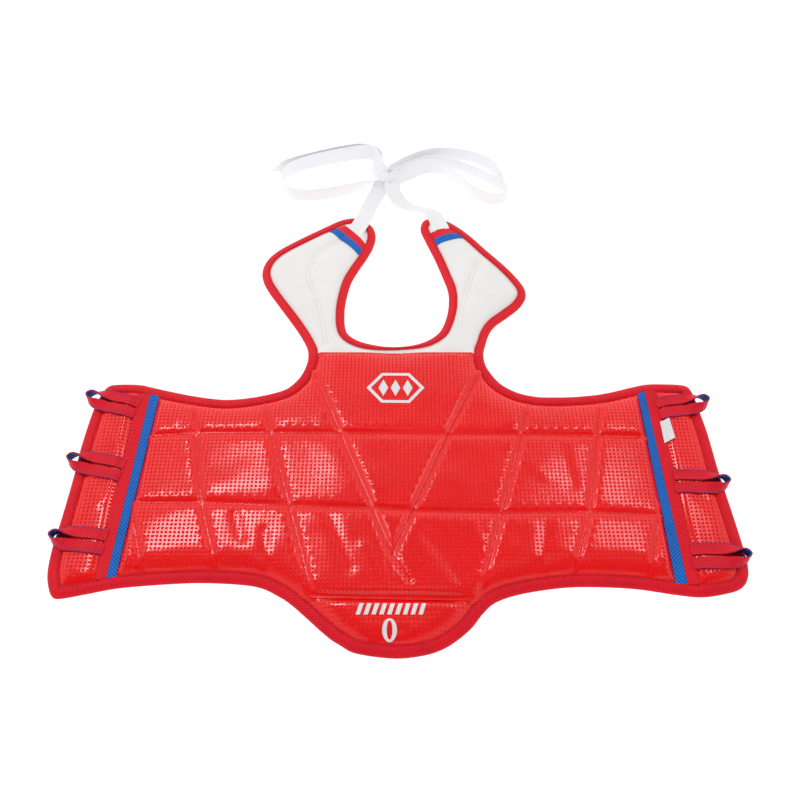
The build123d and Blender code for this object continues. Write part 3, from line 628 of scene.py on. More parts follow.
# ---------------------------------------------------------------- materials
class Shader:
    """A principled material and the few node shapes that these materials share."""

    def __init__(self, name, color, roughness, **sockets):
        self.material = bpy.data.materials.new(name)
        self.material.use_nodes = True
        self.nodes = self.material.node_tree.nodes
        self.links = self.material.node_tree.links
        self.bsdf = self.nodes["Principled BSDF"]
        self.bsdf.inputs["Base Color"].default_value = (*color, 1)
        self.bsdf.inputs["Roughness"].default_value = roughness
        for key, value in sockets.items():
            self.bsdf.inputs[key.replace("_", " ")].default_value = value
        self.uv = self.nodes.new("ShaderNodeUVMap")
        self.uv.uv_map = "cloth"

    def math(self, operation, a, b=None, c=None):
        """Math node's output; each argument is a number or another node's output."""
        node = self.nodes.new("ShaderNodeMath")
        node.operation = operation
        for socket, value in zip(node.inputs, (a, b, c)):
            if value is None:
                continue
            if isinstance(value, (int, float)):
                socket.default_value = value
            else:
                self.links.new(value, socket)
        return node.outputs[0]

    def split(self):
        """The two UV coordinates, in metres."""
        node = self.nodes.new("ShaderNodeSeparateXYZ")
        self.links.new(self.uv.outputs["UV"], node.inputs[0])
        return node.outputs[0], node.outputs[1]

    def noise(self, scale, detail=3.0, roughness=0.55, stretch=(1, 1, 1)):
        """Noise over the surface, with scale in lumps per metre."""
        mapping = self.nodes.new("ShaderNodeMapping")
        mapping.inputs["Scale"].default_value = stretch
        self.links.new(self.uv.outputs["UV"], mapping.inputs["Vector"])
        node = self.nodes.new("ShaderNodeTexNoise")
        node.inputs["Scale"].default_value = scale
        node.inputs["Detail"].default_value = detail
        node.inputs["Roughness"].default_value = roughness
        self.links.new(mapping.outputs["Vector"], node.inputs["Vector"])
        return node.outputs["Fac"]

    def ramp(self, value, low, high, from_low=0.0, from_high=1.0):
        """A value spread from low to high as it goes from from_low to from_high."""
        node = self.nodes.new("ShaderNodeMapRange")
        node.clamp = True
        self.links.new(value, node.inputs["Value"])
        for key, number in (("From Min", from_low), ("From Max", from_high),
                            ("To Min", low), ("To Max", high)):
            node.inputs[key].default_value = number
        return node.outputs["Result"]

    def patches(self, scale, detail, low=0, high=1, start=0.3, end=0.7):
        """Noise spread from low to high between two of its own values."""
        return self.ramp(self.noise(scale, detail), low, high, start, end)

    def mix(self, factor, dark, light):
        """Colour between two, each a tuple or another node's output."""
        node = self.nodes.new("ShaderNodeMix")
        node.data_type = "RGBA"
        self.links.new(factor, node.inputs["Factor"])
        for socket, value in ((node.inputs[6], dark), (node.inputs[7], light)):
            if isinstance(value, tuple):
                socket.default_value = (*value, 1)
            else:
                self.links.new(value, socket)
        return node.outputs[2]

    def color(self, output):
        """Takes the base colour from a node's output."""
        self.links.new(output, self.bsdf.inputs["Base Color"])

    def roughness(self, output):
        """Takes the roughness from a node's output."""
        self.links.new(output, self.bsdf.inputs["Roughness"])

    def bump(self, height, distance, strength=1.0, normal=None):
        """Bumps of the given depth in metres, over a tilted normal if there is one."""
        node = self.nodes.new("ShaderNodeBump")
        node.inputs["Strength"].default_value = strength
        node.inputs["Distance"].default_value = distance
        self.links.new(height, node.inputs["Height"])
        if normal is not None:
            self.links.new(normal, node.inputs["Normal"])
        self.links.new(node.outputs["Normal"], self.bsdf.inputs["Normal"])

    def pits(self, s, t, pitch, low, high, depth):
        """Rows of round pits along two axes: their mask, and the surface's slope on each axis.

        The slopes are worked out rather than left to a bump, which loses pits this small."""
        k = 2 * math.pi / pitch
        phases = [self.math("MULTIPLY", axis, k) for axis in (s, t)]
        a, b = [self.math("MULTIPLY_ADD", self.math("COSINE", p), 0.5, 0.5) for p in phases]
        share = self.math("MULTIPLY", a, b)
        mask = self.ramp(share, 0.0, 1.0, low, high)
        steep = self.math("MULTIPLY", mask, self.math("SUBTRACT", 1.0, mask))
        steep = self.math("MULTIPLY", steep, 3 * k * depth / (high - low))
        slopes = []
        for phase, other in ((phases[0], b), (phases[1], a)):
            rise = self.math("MULTIPLY", self.math("SINE", phase), other)
            slopes.append(self.math("MULTIPLY", steep, rise))
        return mask, slopes[0], slopes[1]

    def tilt(self, slope_u, slope_v):
        """Normal of a surface with the given slopes along its UV axes."""
        node = self.nodes.new("ShaderNodeCombineXYZ")
        for socket, slope in zip(node.inputs, (slope_u, slope_v)):
            self.links.new(self.math("MULTIPLY_ADD", slope, -0.5, 0.5), socket)
        node.inputs[2].default_value = 1.0
        normal = self.nodes.new("ShaderNodeNormalMap")
        normal.uv_map = "cloth"
        self.links.new(node.outputs[0], normal.inputs["Color"])
        return normal.outputs["Normal"]


def embossed(name, color, deep, pitch=4.12):
    """Glossy coated cloth with rows of small round dimples, shallower along the seams, and painted
    shade in the dimples.
    """
    s = Shader(name, color, 0.14)
    u, v = s.split()
    relief = s.nodes.new("ShaderNodeAttribute")
    relief.attribute_name = "relief"
    share = relief.outputs["Fac"]
    mask, slope_u, slope_v = s.pits(u, v, pitch * MM, 0.18, 0.52, 0.00016)
    mask, slope_u, slope_v = [s.math("MULTIPLY", q, share) for q in (mask, slope_u, slope_v)]
    worn = tuple(c * 0.9 for c in color)
    blotch = s.mix(s.patches(14, 3.0), worn, color)
    # painted shade: the dimples take the darker colour deep, for the shade that falls in them
    s.color(s.mix(mask, blotch, deep))
    shine = s.patches(26, 4.0, 0.12, 0.19)
    s.roughness(s.math("MULTIPLY_ADD", mask, 0.5, shine))
    # a dimple reflects less, and the cloth is duller where a seam pulls it flat
    gloss = s.math("MULTIPLY_ADD", share, 0.30, 0.36)
    s.links.new(s.math("MULTIPLY_ADD", mask, -0.50, gloss), s.bsdf.inputs["Specular IOR Level"])
    s.bump(s.noise(700, 2.0), 0.00006, 0.6, s.tilt(slope_u, slope_v))
    return s.material


def smooth_leather(name, color, deep):
    """Glossy coated cloth with only a fine grain, for the lapped strips."""
    s = Shader(name, color, 0.2, Specular_IOR_Level=0.45)
    s.color(s.mix(s.patches(60, 3.0), deep, color))
    s.roughness(s.patches(120, 3.0, 0.18, 0.30))
    s.bump(s.noise(900, 3.0), 0.00012, 0.6)
    return s.material


def plain_leather(name, color, shade):
    """Smooth coated cloth with fine grain and soft wrinkles."""
    s = Shader(name, color, 0.5, Specular_IOR_Level=0.4)
    wrinkle = s.noise(55, 5.0, 0.6, (1.0, 0.35, 1.0))
    grain = s.noise(1400, 2.0)
    height = s.math("ADD", s.math("MULTIPLY", wrinkle, 1.0), s.math("MULTIPLY", grain, 0.10))
    s.bump(height, 0.0009, 0.45)
    s.color(s.mix(s.patches(18, 4.0, start=0.35, end=0.7), shade, color))
    s.roughness(s.patches(60, 3.0, 0.42, 0.58))
    return s.material


def mesh_tape(name, color, gap, pitch=3.4, sheen=0.0, rough=0.5, depth=0.00022):
    """Woven tape with a diagonal net of small holes."""
    s = Shader(name, color, rough, Specular_IOR_Level=0.18, Sheen_Weight=sheen,
               Sheen_Roughness=0.35)
    u, v = s.split()
    along, back = s.math("ADD", u, v), s.math("SUBTRACT", u, v)
    mask, one, two = s.pits(along, back, pitch * MM, 0.16, 0.62, depth)
    normal = s.tilt(s.math("ADD", one, two), s.math("SUBTRACT", one, two))
    s.bump(s.noise(2500, 1.0), 0.0001, 0.6, normal)
    worn = s.mix(s.patches(40, 3.0, start=0.35, end=0.65), tuple(c * 0.85 for c in color), color)
    # painted shade: the holes take the darker gap colour, for the shade that falls in them
    s.color(s.mix(mask, worn, gap))
    return s.material


def ribbed_tape(name, color, dark, pitch=1.1, sheen=0.15, rough=0.6):
    """Plain woven tape with fine ribs across it."""
    s = Shader(name, color, rough, Specular_IOR_Level=0.3, Sheen_Weight=sheen,
               Sheen_Roughness=0.5)
    u, v = s.split()
    rib = s.math("COSINE", s.math("MULTIPLY", u, 2 * math.pi / (pitch * MM)))
    thread = s.math("COSINE", s.math("MULTIPLY", v, 2 * math.pi / (0.7 * MM)))
    weave = s.math("MULTIPLY_ADD", s.math("MULTIPLY", rib, thread), 0.5, 0.5)
    height = s.math("ADD", s.math("MULTIPLY", weave, 0.8),
                    s.math("MULTIPLY", s.noise(1800, 2.0), 0.3))
    s.bump(height, 0.00022, 0.7)
    shade = s.math("MULTIPLY", s.ramp(weave, 0.55, 1.0), s.patches(25, 3.0, 0.8, 1.0))
    s.color(s.mix(shade, dark, color))
    return s.material


def plain(name, color, rough=0.6, scale=300.0):
    """Print, thread or label: one colour with fine unevenness."""
    s = Shader(name, color, rough, Specular_IOR_Level=0.3)
    uneven = s.noise(scale, 3.0)
    s.color(s.mix(s.ramp(uneven, 0, 1, 0.3, 0.7), tuple(c * 0.86 for c in color), color))
    s.bump(uneven, 0.00008, 0.5)
    return s.material


RED = embossed("red_embossed", (0.93, 0.006, 0.007), (0.80, 0.001, 0.002))
RED_SMOOTH = smooth_leather("red_smooth", (0.93, 0.006, 0.007), (0.86, 0.003, 0.004))
BLUE_BACK = embossed("blue_embossed", (0.015, 0.10, 0.50), (0.008, 0.05, 0.32))
WHITE = plain_leather("white_leather", (0.90, 0.885, 0.86), (0.85, 0.838, 0.81))
RED_NET = mesh_tape("red_net_tape", (0.88, 0.007, 0.024), (0.60, 0.002, 0.010), pitch=3.8,
                    sheen=0.03)
RED_LOOP = mesh_tape("red_loop_tape", (0.86, 0.012, 0.034), (0.52, 0.002, 0.010), pitch=3.4,
                     sheen=0.08)
BLUE_NET = mesh_tape("blue_net_tape", (0.014, 0.20, 0.74), (0.003, 0.030, 0.20), pitch=3.6,
                     depth=0.0003)
DARK_BLUE = mesh_tape("dark_blue_tape", (0.012, 0.080, 0.34), (0.005, 0.030, 0.16), pitch=3.0)
RED_RIB = ribbed_tape("red_ribbed_tape", (0.86, 0.007, 0.020), (0.66, 0.004, 0.012), sheen=0.04)
WHITE_TAPE = ribbed_tape("white_tape", (0.97, 0.97, 0.985), (0.86, 0.86, 0.89))
# red thread paler and pinker than the cover: its own colour, lightened as a painted highlight for
# the glints on the stitches
THREAD = plain("red_thread", (0.84, 0.06, 0.06), 0.4)
# dark red thread: painted shade of the needle holes that the stitches sit in
DEEP_THREAD = plain("deep_red_thread", (0.52, 0.008, 0.012), 0.5)
PALE_THREAD = plain("white_thread", (0.80, 0.79, 0.76), 0.6)
BLUE_THREAD = plain("blue_thread", (0.02, 0.10, 0.42), 0.5)
PRINT = plain("white_print", (0.86, 0.84, 0.86), 0.45)
LABEL = plain("label_cloth", (0.86, 0.86, 0.88), 0.7)


# ---------------------------------------------------------------- camera, light and floor
ELEVATION = math.radians(57)
DISTANCE = 0.945
FOCAL = 870.0 / 800.0  # in picture widths
SENSOR = 36.0
AIM = (0.0038, 0.003, 0)
SOFTBOXES = {  # place, size and power
    "left_softbox": ((-0.55, 0.415, 1.42), (0.8, 0.18), 5.2),
    "right_softbox": ((0.66, 0.415, 1.42), (0.62, 0.18), 1.9),
}
SOFTBOX_COLOR = (0.96, 0.97, 1.0)
# Light from the room by height above the horizon: degrees where it starts and stops changing,
# and its strength at the two. The walls are white up to a dim ring, under a brighter ceiling.
WALLS = (52, 65, 1.06, 0.10)
CEILING = (72, 82, 0.0, 0.42)
FRONT_DIMMING = -0.28  # the ring comes lower at the front
FLOOR_HALF, FLOOR_Z = 6.0, -0.36  # low enough for the panels to fold down above it


def camera():
    """Camera at the photo's viewing angle."""
    data = bpy.data.cameras.new("camera")
    data.sensor_width = SENSOR
    data.lens = SENSOR * FOCAL
    data.clip_end = 20
    obj = add_object("camera", data)
    back = Vector((0, -math.cos(ELEVATION), math.sin(ELEVATION)))
    obj.location = Vector(AIM) + back * DISTANCE
    obj.rotation_euler = (math.pi / 2 - ELEVATION, 0, 0)
    bpy.context.scene.camera = obj


def softboxes():
    """Two long soft lights behind the guard, aimed at its middle."""
    for name, (where, size, power) in SOFTBOXES.items():
        light = bpy.data.lights.new(name, "AREA")
        light.shape = "RECTANGLE"
        light.size, light.size_y = size
        light.energy = power
        light.color = SOFTBOX_COLOR
        obj = add_object(name, light)
        obj.location = where
        direction = Vector((0, 0, 0)) - Vector(where)
        obj.rotation_euler = direction.to_track_quat("-Z", "Y").to_euler()


def room():
    """Light from the studio's walls and ceiling."""
    world = bpy.data.worlds.new("studio")
    world.use_nodes = True
    nodes, links = world.node_tree.nodes, world.node_tree.links
    place = nodes.new("ShaderNodeTexCoord")
    split = nodes.new("ShaderNodeSeparateXYZ")
    links.new(place.outputs["Generated"], split.inputs[0])
    front = nodes.new("ShaderNodeMath")
    front.operation = "MULTIPLY"
    front.use_clamp = True
    front.inputs[1].default_value = FRONT_DIMMING
    links.new(split.outputs[1], front.inputs[0])
    height = nodes.new("ShaderNodeMath")
    links.new(split.outputs[2], height.inputs[0])
    links.new(front.outputs[0], height.inputs[1])
    total = nodes.new("ShaderNodeMath")
    for socket, source, (low, high, start, end) in zip(
            total.inputs, (height.outputs[0], split.outputs[2]), (WALLS, CEILING)):
        fade = nodes.new("ShaderNodeMapRange")
        for key, number in (("From Min", math.sin(math.radians(low))),
                            ("From Max", math.sin(math.radians(high))),
                            ("To Min", start), ("To Max", end)):
            fade.inputs[key].default_value = number
        links.new(source, fade.inputs["Value"])
        links.new(fade.outputs["Result"], socket)
    background = nodes["Background"]
    background.inputs["Color"].default_value = (1, 1, 1, 1)
    links.new(total.outputs[0], background.inputs["Strength"])
    bpy.context.scene.world = world
    bpy.context.scene.view_settings.view_transform = "Standard"


def floor():
    """Plain white studio floor."""
    corners = [(-1, -1), (1, -1), (1, 1), (-1, 1)]
    obj = new_object("studio_floor", [(x * FLOOR_HALF, y * FLOOR_HALF, FLOOR_Z)
                                      for x, y in corners], [(0, 1, 2, 3)], smooth=False)
    material = bpy.data.materials.new("studio_floor")
    material.use_nodes = True
    bsdf = material.node_tree.nodes["Principled BSDF"]
    for key, value in (("Base Color", (0.3, 0.3, 0.3, 1)), ("Roughness", 0.9),
                       ("Emission Color", (1, 1, 1, 1)), ("Emission Strength", 0.95)):
        bsdf.inputs[key].default_value = value
    paint(obj, material)


# ---------------------------------------------------------------- ties
def spline_points(name, route):
    """Points on the smooth line that a route's points control, in metres."""
    curve = bpy.data.curves.new(name, "CURVE")
    curve.dimensions = "3D"
    curve.resolution_u = 16
    spline = curve.splines.new("NURBS")
    spline.points.add(len(route) - 1)
    for point, (x, y, z, _) in zip(spline.points, route):
        point.co = (x * MM, y * MM, z * MM, 1)
    spline.order_u = 3
    spline.use_endpoint_u = True
    obj = add_object(name, curve)
    bpy.context.view_layer.update()
    mesh = bpy.data.meshes.new_from_object(obj)
    points = np.array([v.co for v in mesh.vertices])
    bpy.data.objects.remove(obj)
    bpy.data.meshes.remove(mesh)
    return points


def ribbon(name, middle, across, up, width, thick, material, point_end=0.0):
    """Flat tape along a middle line, all in metres: a thin box section, sharp at its edges."""
    n = len(middle)
    half = np.full(n, width / 2)
    along = lengths(middle)
    if point_end:
        half = np.minimum(half, 0.0006 + (along[-1] - along) * (width / 2) / point_end)
    cross = [(-1, -0.5), (-1, 0.5), (-0.5, 0.5), (0, 0.5), (0.5, 0.5), (1, 0.5), (1, -0.5),
             (0.5, -0.5), (0, -0.5), (-0.5, -0.5)]
    verts, uvs = [], []
    for i in range(n):
        for u, v in cross:
            verts.append(middle[i] + across[i] * u * half[i] + up[i] * v * thick)
            uvs.append((along[i], u * half[i]))
    m = len(cross)
    obj = new_object(name, verts, tube_faces(n, m) + end_faces(n, m), uvs)
    sharp = {0, 1, 5, 6}  # the four corners of the cross-section
    for edge in obj.data.edges:
        a, b = edge.vertices
        if a % m == b % m and a % m in sharp:
            edge.use_edge_sharp = True
    orient(obj)
    return paint(obj, material)


def rolled(points, angles):
    """Directions across and up for a tape whose roll follows the given angles, in radians."""
    tangent = directions(points)
    side = unit(np.cross(np.array([0, 0, 1.0]), tangent))
    lift = np.cross(tangent, side)
    c, s = np.cos(angles)[:, None], np.sin(angles)[:, None]
    return side * c + lift * s, lift * c - side * s


def ties(bow_knot):
    """The two neck ties, from under the shoulders' tapes through the knot to their free ends."""
    for name, route in (("left_tie", LEFT_TIE), ("right_tie", RIGHT_TIE)):
        control = np.array(route, float)
        # the first two points lie on the shoulder's cover, the very first one under its tape
        resting = GRID.at(GRID.top, control[:2, 0], control[:2, 1])
        control[:2, 2] = resting + (-0.3, 1.2)
        points = even_points(spline_points(name, control), 2.0 * MM)
        # roll at each point of the line, from the route's points at the same share of length
        share = lengths(control[:, :3])
        share /= share[-1]
        along = lengths(points)
        angle = np.interp(along / along[-1], share, np.radians(control[:, 3]))
        across, up = rolled(points, smoothed(angle, 12))
        obj = ribbon(f"{name}_tape", points, across, up, TIE_WIDTH * MM, TIE_THICK * MM,
                     WHITE_TAPE, point_end=TIE_POINT * MM)
        fasten(obj, body="yoke", nodes=[name])


def knot():
    """The bow's knot: a tight lump of tape with folds running round it."""
    verts, uvs = [], []
    rings, turns = 20, 36
    c, s = math.cos(KNOT_TURN), math.sin(KNOT_TURN)
    for i in range(rings + 1):
        a = math.pi * i / rings
        for j in range(turns):
            b = 2 * math.pi * j / turns
            fold = 1 + 0.07 * math.sin(5 * b + 3 * math.cos(a)) + 0.05 * math.sin(9 * a + b)
            x = KNOT_SIZE[0] * math.sin(a) * math.cos(b) * fold
            y = KNOT_SIZE[1] * math.cos(a) * (1 + 0.06 * math.sin(4 * b))
            z = KNOT_SIZE[2] * math.sin(a) * math.sin(b) * fold
            verts.append(((KNOT[0] + x * c - y * s) * MM, (KNOT[1] + x * s + y * c) * MM,
                          (KNOT[2] + z) * MM))
            uvs.append((b * 0.010, a * 0.009))
    obj = new_object("tie_knot_folds", verts, tube_faces(rings + 1, turns), uvs)
    return fasten(paint(obj, WHITE_TAPE), body="yoke", nodes=["tie_knot"])


# ---------------------------------------------------------------- covers
GRID = Grid()


def sheet_mesh(name, field, keep, flip):
    """Mesh of a whole cover where keep is true, with its plan place as UV."""
    index = np.full(keep.shape, -1)
    index[keep] = np.arange(int(keep.sum()))
    verts = np.stack([GRID.x[keep] * MM, GRID.y[keep] * MM, field[keep] * MM], 1)
    a, b = index[:-1, :-1], index[:-1, 1:]
    c, d = index[1:, 1:], index[1:, :-1]
    full = (a >= 0) & (b >= 0) & (c >= 0) & (d >= 0)
    order = (a, d, c, b) if flip else (a, b, c, d)
    faces = np.stack([q[full] for q in order], 1)
    obj = new_object(name, verts, faces.tolist(), verts[:, :2])
    relief = obj.data.attributes.new("relief", "FLOAT", "POINT")
    relief.data.foreach_set("value", GRID.relief[keep].astype(np.float32))
    return obj


def set_normals(obj, field, sign):
    """Gives a cut cover the normals of the whole cover, so that no cut shows."""
    points = np.zeros(len(obj.data.vertices) * 3)
    obj.data.vertices.foreach_get("co", points)
    normals = GRID.normals(field, points.reshape(-1, 3), sign)
    shade_smooth(obj)
    obj.data.normals_split_custom_set_from_vertices([tuple(n) for n in normals])


def dress(piece, field, sign, material, region, nodes=()):
    """Finishes a cut piece of a cover."""
    set_normals(piece, field, sign)
    fasten(paint(piece, material), region=region, nodes=nodes)


def covers():
    """Outer and back covers, cut into the regions between the folds."""
    edge_in = GRID.edge > 3.0
    body = edge_in & (GRID.y < YOKE_Y + 2.5)
    shoulders = edge_in & (GRID.y > RED_TOP - 2.5)
    outer = sheet_mesh("outer", GRID.top, body, False)
    back = sheet_mesh("back", GRID.back, edge_in, True)
    white = sheet_mesh("white", GRID.top, shoulders, False)
    for region in REGIONS:
        nodes = [f"{region}_back_cover"]
        if region == "yoke":
            strip = cut(cut_to(outer, region, "chest_top_strip"), [wall("y", RED_TOP, 1)])
            dress(strip, GRID.top, 1, RED, region)
            for side, sign in SIDES.items():
                piece = cut(copy_of(white, f"{side}_shoulder_cover"),
                            [wall("y", RED_TOP, -1), wall("x", 0, -sign)])
                dress(piece, GRID.top, 1, WHITE, region,
                      [f"{side}_shoulder_outer_cover", f"{side}_shoulder_foam"])
            nodes = [f"{side}_shoulder_back_cover" for side in SIDES]
        else:
            piece = cut_to(outer, region, f"{region}_cover")
            stands_for = [f"{region}_outer_cover", f"{region}_foam"]
            if region == "chest":
                stands_for.append("chest_v_panel")
            dress(piece, GRID.top, 1, RED, region, stands_for)
        under = cut_to(back, region, f"{region}_back")
        dress(under, GRID.back, -1, BLUE_BACK, region, nodes)
    for obj in (outer, back, white):
        bpy.data.objects.remove(obj)


# ---------------------------------------------------------------- binding
BINDING_SHAPE = [  # inward share of the width, height, from the back round to the front
    (1.00, 3.3), (0.62, 2.5), (0.25, 2.4), (0.06, 3.6), (0.0, 5.6), (0.04, 7.6), (0.2, 9.1),
    (0.55, 9.9), (0.95, 9.8), (1.0, 9.0), (0.95, 8.6), (0.55, 8.9), (0.24, 8.2), (0.12, 6.9),
    (0.10, 5.6), (0.12, 4.4), (0.26, 3.3), (0.62, 3.4), (0.98, 3.9),
]
BINDING_TOP = 9.95  # height at which its stitches lie


def edge_line():
    """Closed line round the guard with its inward normals and the tape's width, in mm."""
    line = smooth_line(OUTLINE, 2.5, closed=True)[:-1]
    tangent = np.roll(line, -1, axis=0) - np.roll(line, 1, axis=0)
    for _ in range(3):
        tangent = (np.roll(tangent, 1, axis=0) + 2 * tangent + np.roll(tangent, -1, axis=0)) / 4
    normal = turned_left(unit(tangent))
    ahead = inside(line[:, 0] + normal[:, 0] * 5, line[:, 1] + normal[:, 1] * 5, line)
    if ahead.mean() < 0.5:
        normal = -normal
    up = np.clip((line[:, 1] - 55) / 16, 0, 1)
    width = BINDING + (NECK_BINDING - BINDING) * up
    gather = np.exp(-(((line[:, 0] - 2) / 30) ** 2)) * (np.abs(line[:, 1] - 74) < 14)
    width = width * (1 - 0.5 * gather)  # the tape is pulled narrow at the neck's lowest point
    return line, normal, width


def binding():
    """One folded tape round the whole guard, cut into the regions between the folds."""
    line, normal, width = edge_line()
    n, m = len(line), len(BINDING_SHAPE)
    rng = np.random.default_rng(SEED + 7)
    wave = np.convolve(np.tile(rng.uniform(-1, 1, n), 3), np.hanning(17) / 8, "same")[n:2 * n]
    along = lengths(np.vstack([line, line[:1]]))
    verts, uvs = [], []
    run = 0.0
    girth = [0.0]
    for (a, za), (b, zb) in zip(BINDING_SHAPE, BINDING_SHAPE[1:]):
        run += math.hypot((b - a) * BINDING, zb - za)
        girth.append(run)
    for i in range(n):
        for j, (share, z) in enumerate(BINDING_SHAPE):
            d = share * (width[i] + 0.35 * wave[i])
            x, y = line[i] + normal[i] * d
            lift = 0.25 * wave[i] * (1 if z > HINGE_Z else 0.3)
            verts.append((x * MM, y * MM, (z + lift) * MM))
            uvs.append((along[i] * MM, girth[j] * MM))
    faces, corner_uvs = [], []
    for i in range(n):
        k = (i + 1) % n
        for j in range(m - 1):
            faces.append((i * m + j, k * m + j, k * m + j + 1, i * m + j + 1))
            ends = (along[i] * MM, along[i + 1] * MM)
            corner_uvs += [(ends[0], girth[j] * MM), (ends[1], girth[j] * MM),
                           (ends[1], girth[j + 1] * MM), (ends[0], girth[j + 1] * MM)]
    whole = new_object("binding", verts, faces)
    layer = whole.data.uv_layers.new(name="cloth")
    layer.data.foreach_set("uv", np.array(corner_uvs, np.float32).ravel())
    orient(whole)
    names = {"chest": ["left_armhole_binding", "right_armhole_binding"],
             "bib": ["bib_binding"],
             "yoke": ["neck_binding", "left_shoulder_binding", "right_shoulder_binding"]}
    for region in REGIONS:
        piece = cut_to(whole, region, f"{region}_edge_tape")
        shade_smooth(piece)
        paint(piece, RED_RIB if region == "yoke" else RED_NET)
        fasten(piece, region=region,
               nodes=names.get(region, [f"{region}_binding"]))
    bpy.data.objects.remove(whole)


# ---------------------------------------------------------------- flat tapes
def surface_tape(name, near, far, lift, thick, material, rows=7):
    """Tape that lies on the outer cover between two edge lines of equal point count, in mm."""
    near, far = np.array(near, float), np.array(far, float)
    n = len(near)
    along = lengths((near + far) / 2)
    verts, uvs = [], []
    for level in (1, 0):
        for i in range(n):
            for j in range(rows):
                t = j / (rows - 1)
                x, y = near[i] * (1 - t) + far[i] * t
                z = float(GRID.at(GRID.top, x, y)) + lift - (0 if level else thick)
                verts.append((x * MM, y * MM, z * MM))
                uvs.append((along[i] * MM, t * np.linalg.norm(far[i] - near[i]) * MM))
    faces = []
    size = n * rows
    for i in range(n - 1):
        for j in range(rows - 1):
            a = i * rows + j
            faces.append((a, a + 1, a + rows + 1, a + rows))
            faces.append((a + size, a + size + rows, a + size + rows + 1, a + size + 1))
    rim = ([(i * rows, (i + 1) * rows) for i in range(n - 1)]
           + [((i + 1) * rows + rows - 1, i * rows + rows - 1) for i in range(n - 1)]
           + [(j + 1, j) for j in range(rows - 1)]
           + [((n - 1) * rows + j, (n - 1) * rows + j + 1) for j in range(rows - 1)])
    for a, b in rim:
        faces.append((a, b, b + size, a + size))
    obj = new_object(name, verts, faces, uvs)
    orient(obj)
    for edge in obj.data.edges:
        a, b = edge.vertices
        if (a < size) == (b < size) and abs(a - b) in (1, rows):
            i, j = divmod(min(a, b) % size, rows)
            along_side = abs(a - b) == rows and j in (0, rows - 1)
            across_end = abs(a - b) == 1 and i in (0, n - 1)
            if along_side or across_end:
                edge.use_edge_sharp = True
    return paint(obj, material)


def seam_tapes():
    """Blue stripe and red loop band down the seam between wing and flap."""
    for side, top, low in (("left", 4.5, -206.0), ("right", 8.0, -211.0)):
        sign = SIDES[side]
        y = np.linspace(top, low, 90)
        share = (TAPED_TOP - y) / (TAPED_TOP - TAPED_BOTTOM)
        edges = [np.stack([sign * (a + (b - a) * share), y], 1) for a, b in TAPED[side]]
        overlap = np.array([sign * 0.6, 0])
        for name, near, far, lift, material, node, slot in (
            (f"{side}_blue_stripe_tape", edges[0], edges[1], 1.0, BLUE_NET,
             f"{side}_blue_stripe", "blue_tape"),
            (f"{side}_loop_band_tape", edges[1] - overlap, edges[2], 1.5, RED_NET,
             f"{side}_loop_band", "red_binding_tape"),
        ):
            obj = surface_tape(name, near, far, lift, 1.2, material)
            fasten(obj, region=f"{side}_flap", nodes=[node])


def lapped_strips():
    """Stitched strip along the inner side of each V line, and the bib seam's turned edge."""
    for side, line, top, lift in (("left", LEFT_V, 24, 0.7), ("right", RIGHT_V, 27, 1.0)):
        near = even_points(np.array(line, float), 2.5)
        near = near[near[:, 1] < top]
        inward = -SIDES[side] * turned_left(directions(near))
        # the strip narrows to the V's point
        narrow = np.clip((near[:, 1] + 183.5) / 12, 0.15, 1)[:, None]
        obj = surface_tape(f"{side}_v_strip", near, near + inward * V_STRIP * narrow, lift, 0.8,
                           RED_SMOOTH)
        fasten(obj, body="chest")
        rail = near + inward * 1.3
        thread = stitch_rows(f"{side}_v_stitches", [on_cover(rail, lift + 0.05)], V_STITCH,
                             THREAD)
        fasten(thread, body="chest")
    line = bib_seam_line(2.5)
    lip = surface_tape("bib_seam_lip", line - (0, 1.6), line + (0, 0.6), 0.9, 0.9, RED_SMOOTH,
                       rows=5)
    fasten(lip, region="bib")


def bib_seam_line(step, down=0.0):
    """The bib's seam, or a line that far below it, clear of the binding at both ends."""
    line = even_points(np.array(BIB_SEAM, float) - (0, down), step)
    return line[(line[:, 0] > -86) & (line[:, 0] < 78)]


def shoulder_tapes():
    """Red and blue tapes across each shoulder tip."""
    tapes = (("red", 0.0, 0.52, RED_RIB), ("blue", 0.52, 1.0, BLUE_NET))
    t = np.linspace(0.04, 0.97, 24)[:, None]
    for side, corners in SHOULDER_TAPES.items():
        a, b, c, d = (np.array(p, float) for p in corners)
        for name, low, high, material in tapes:
            near = (a + (c - a) * low) * (1 - t) + (b + (d - b) * low) * t
            far = (a + (c - a) * high) * (1 - t) + (b + (d - b) * high) * t
            obj = surface_tape(f"{side}_shoulder_{name}_tape", near, far, 1.0, 1.1, material)
            fasten(obj, body="yoke",
                   nodes=[f"{side}_shoulder_tapes"] if name == "red" else [])


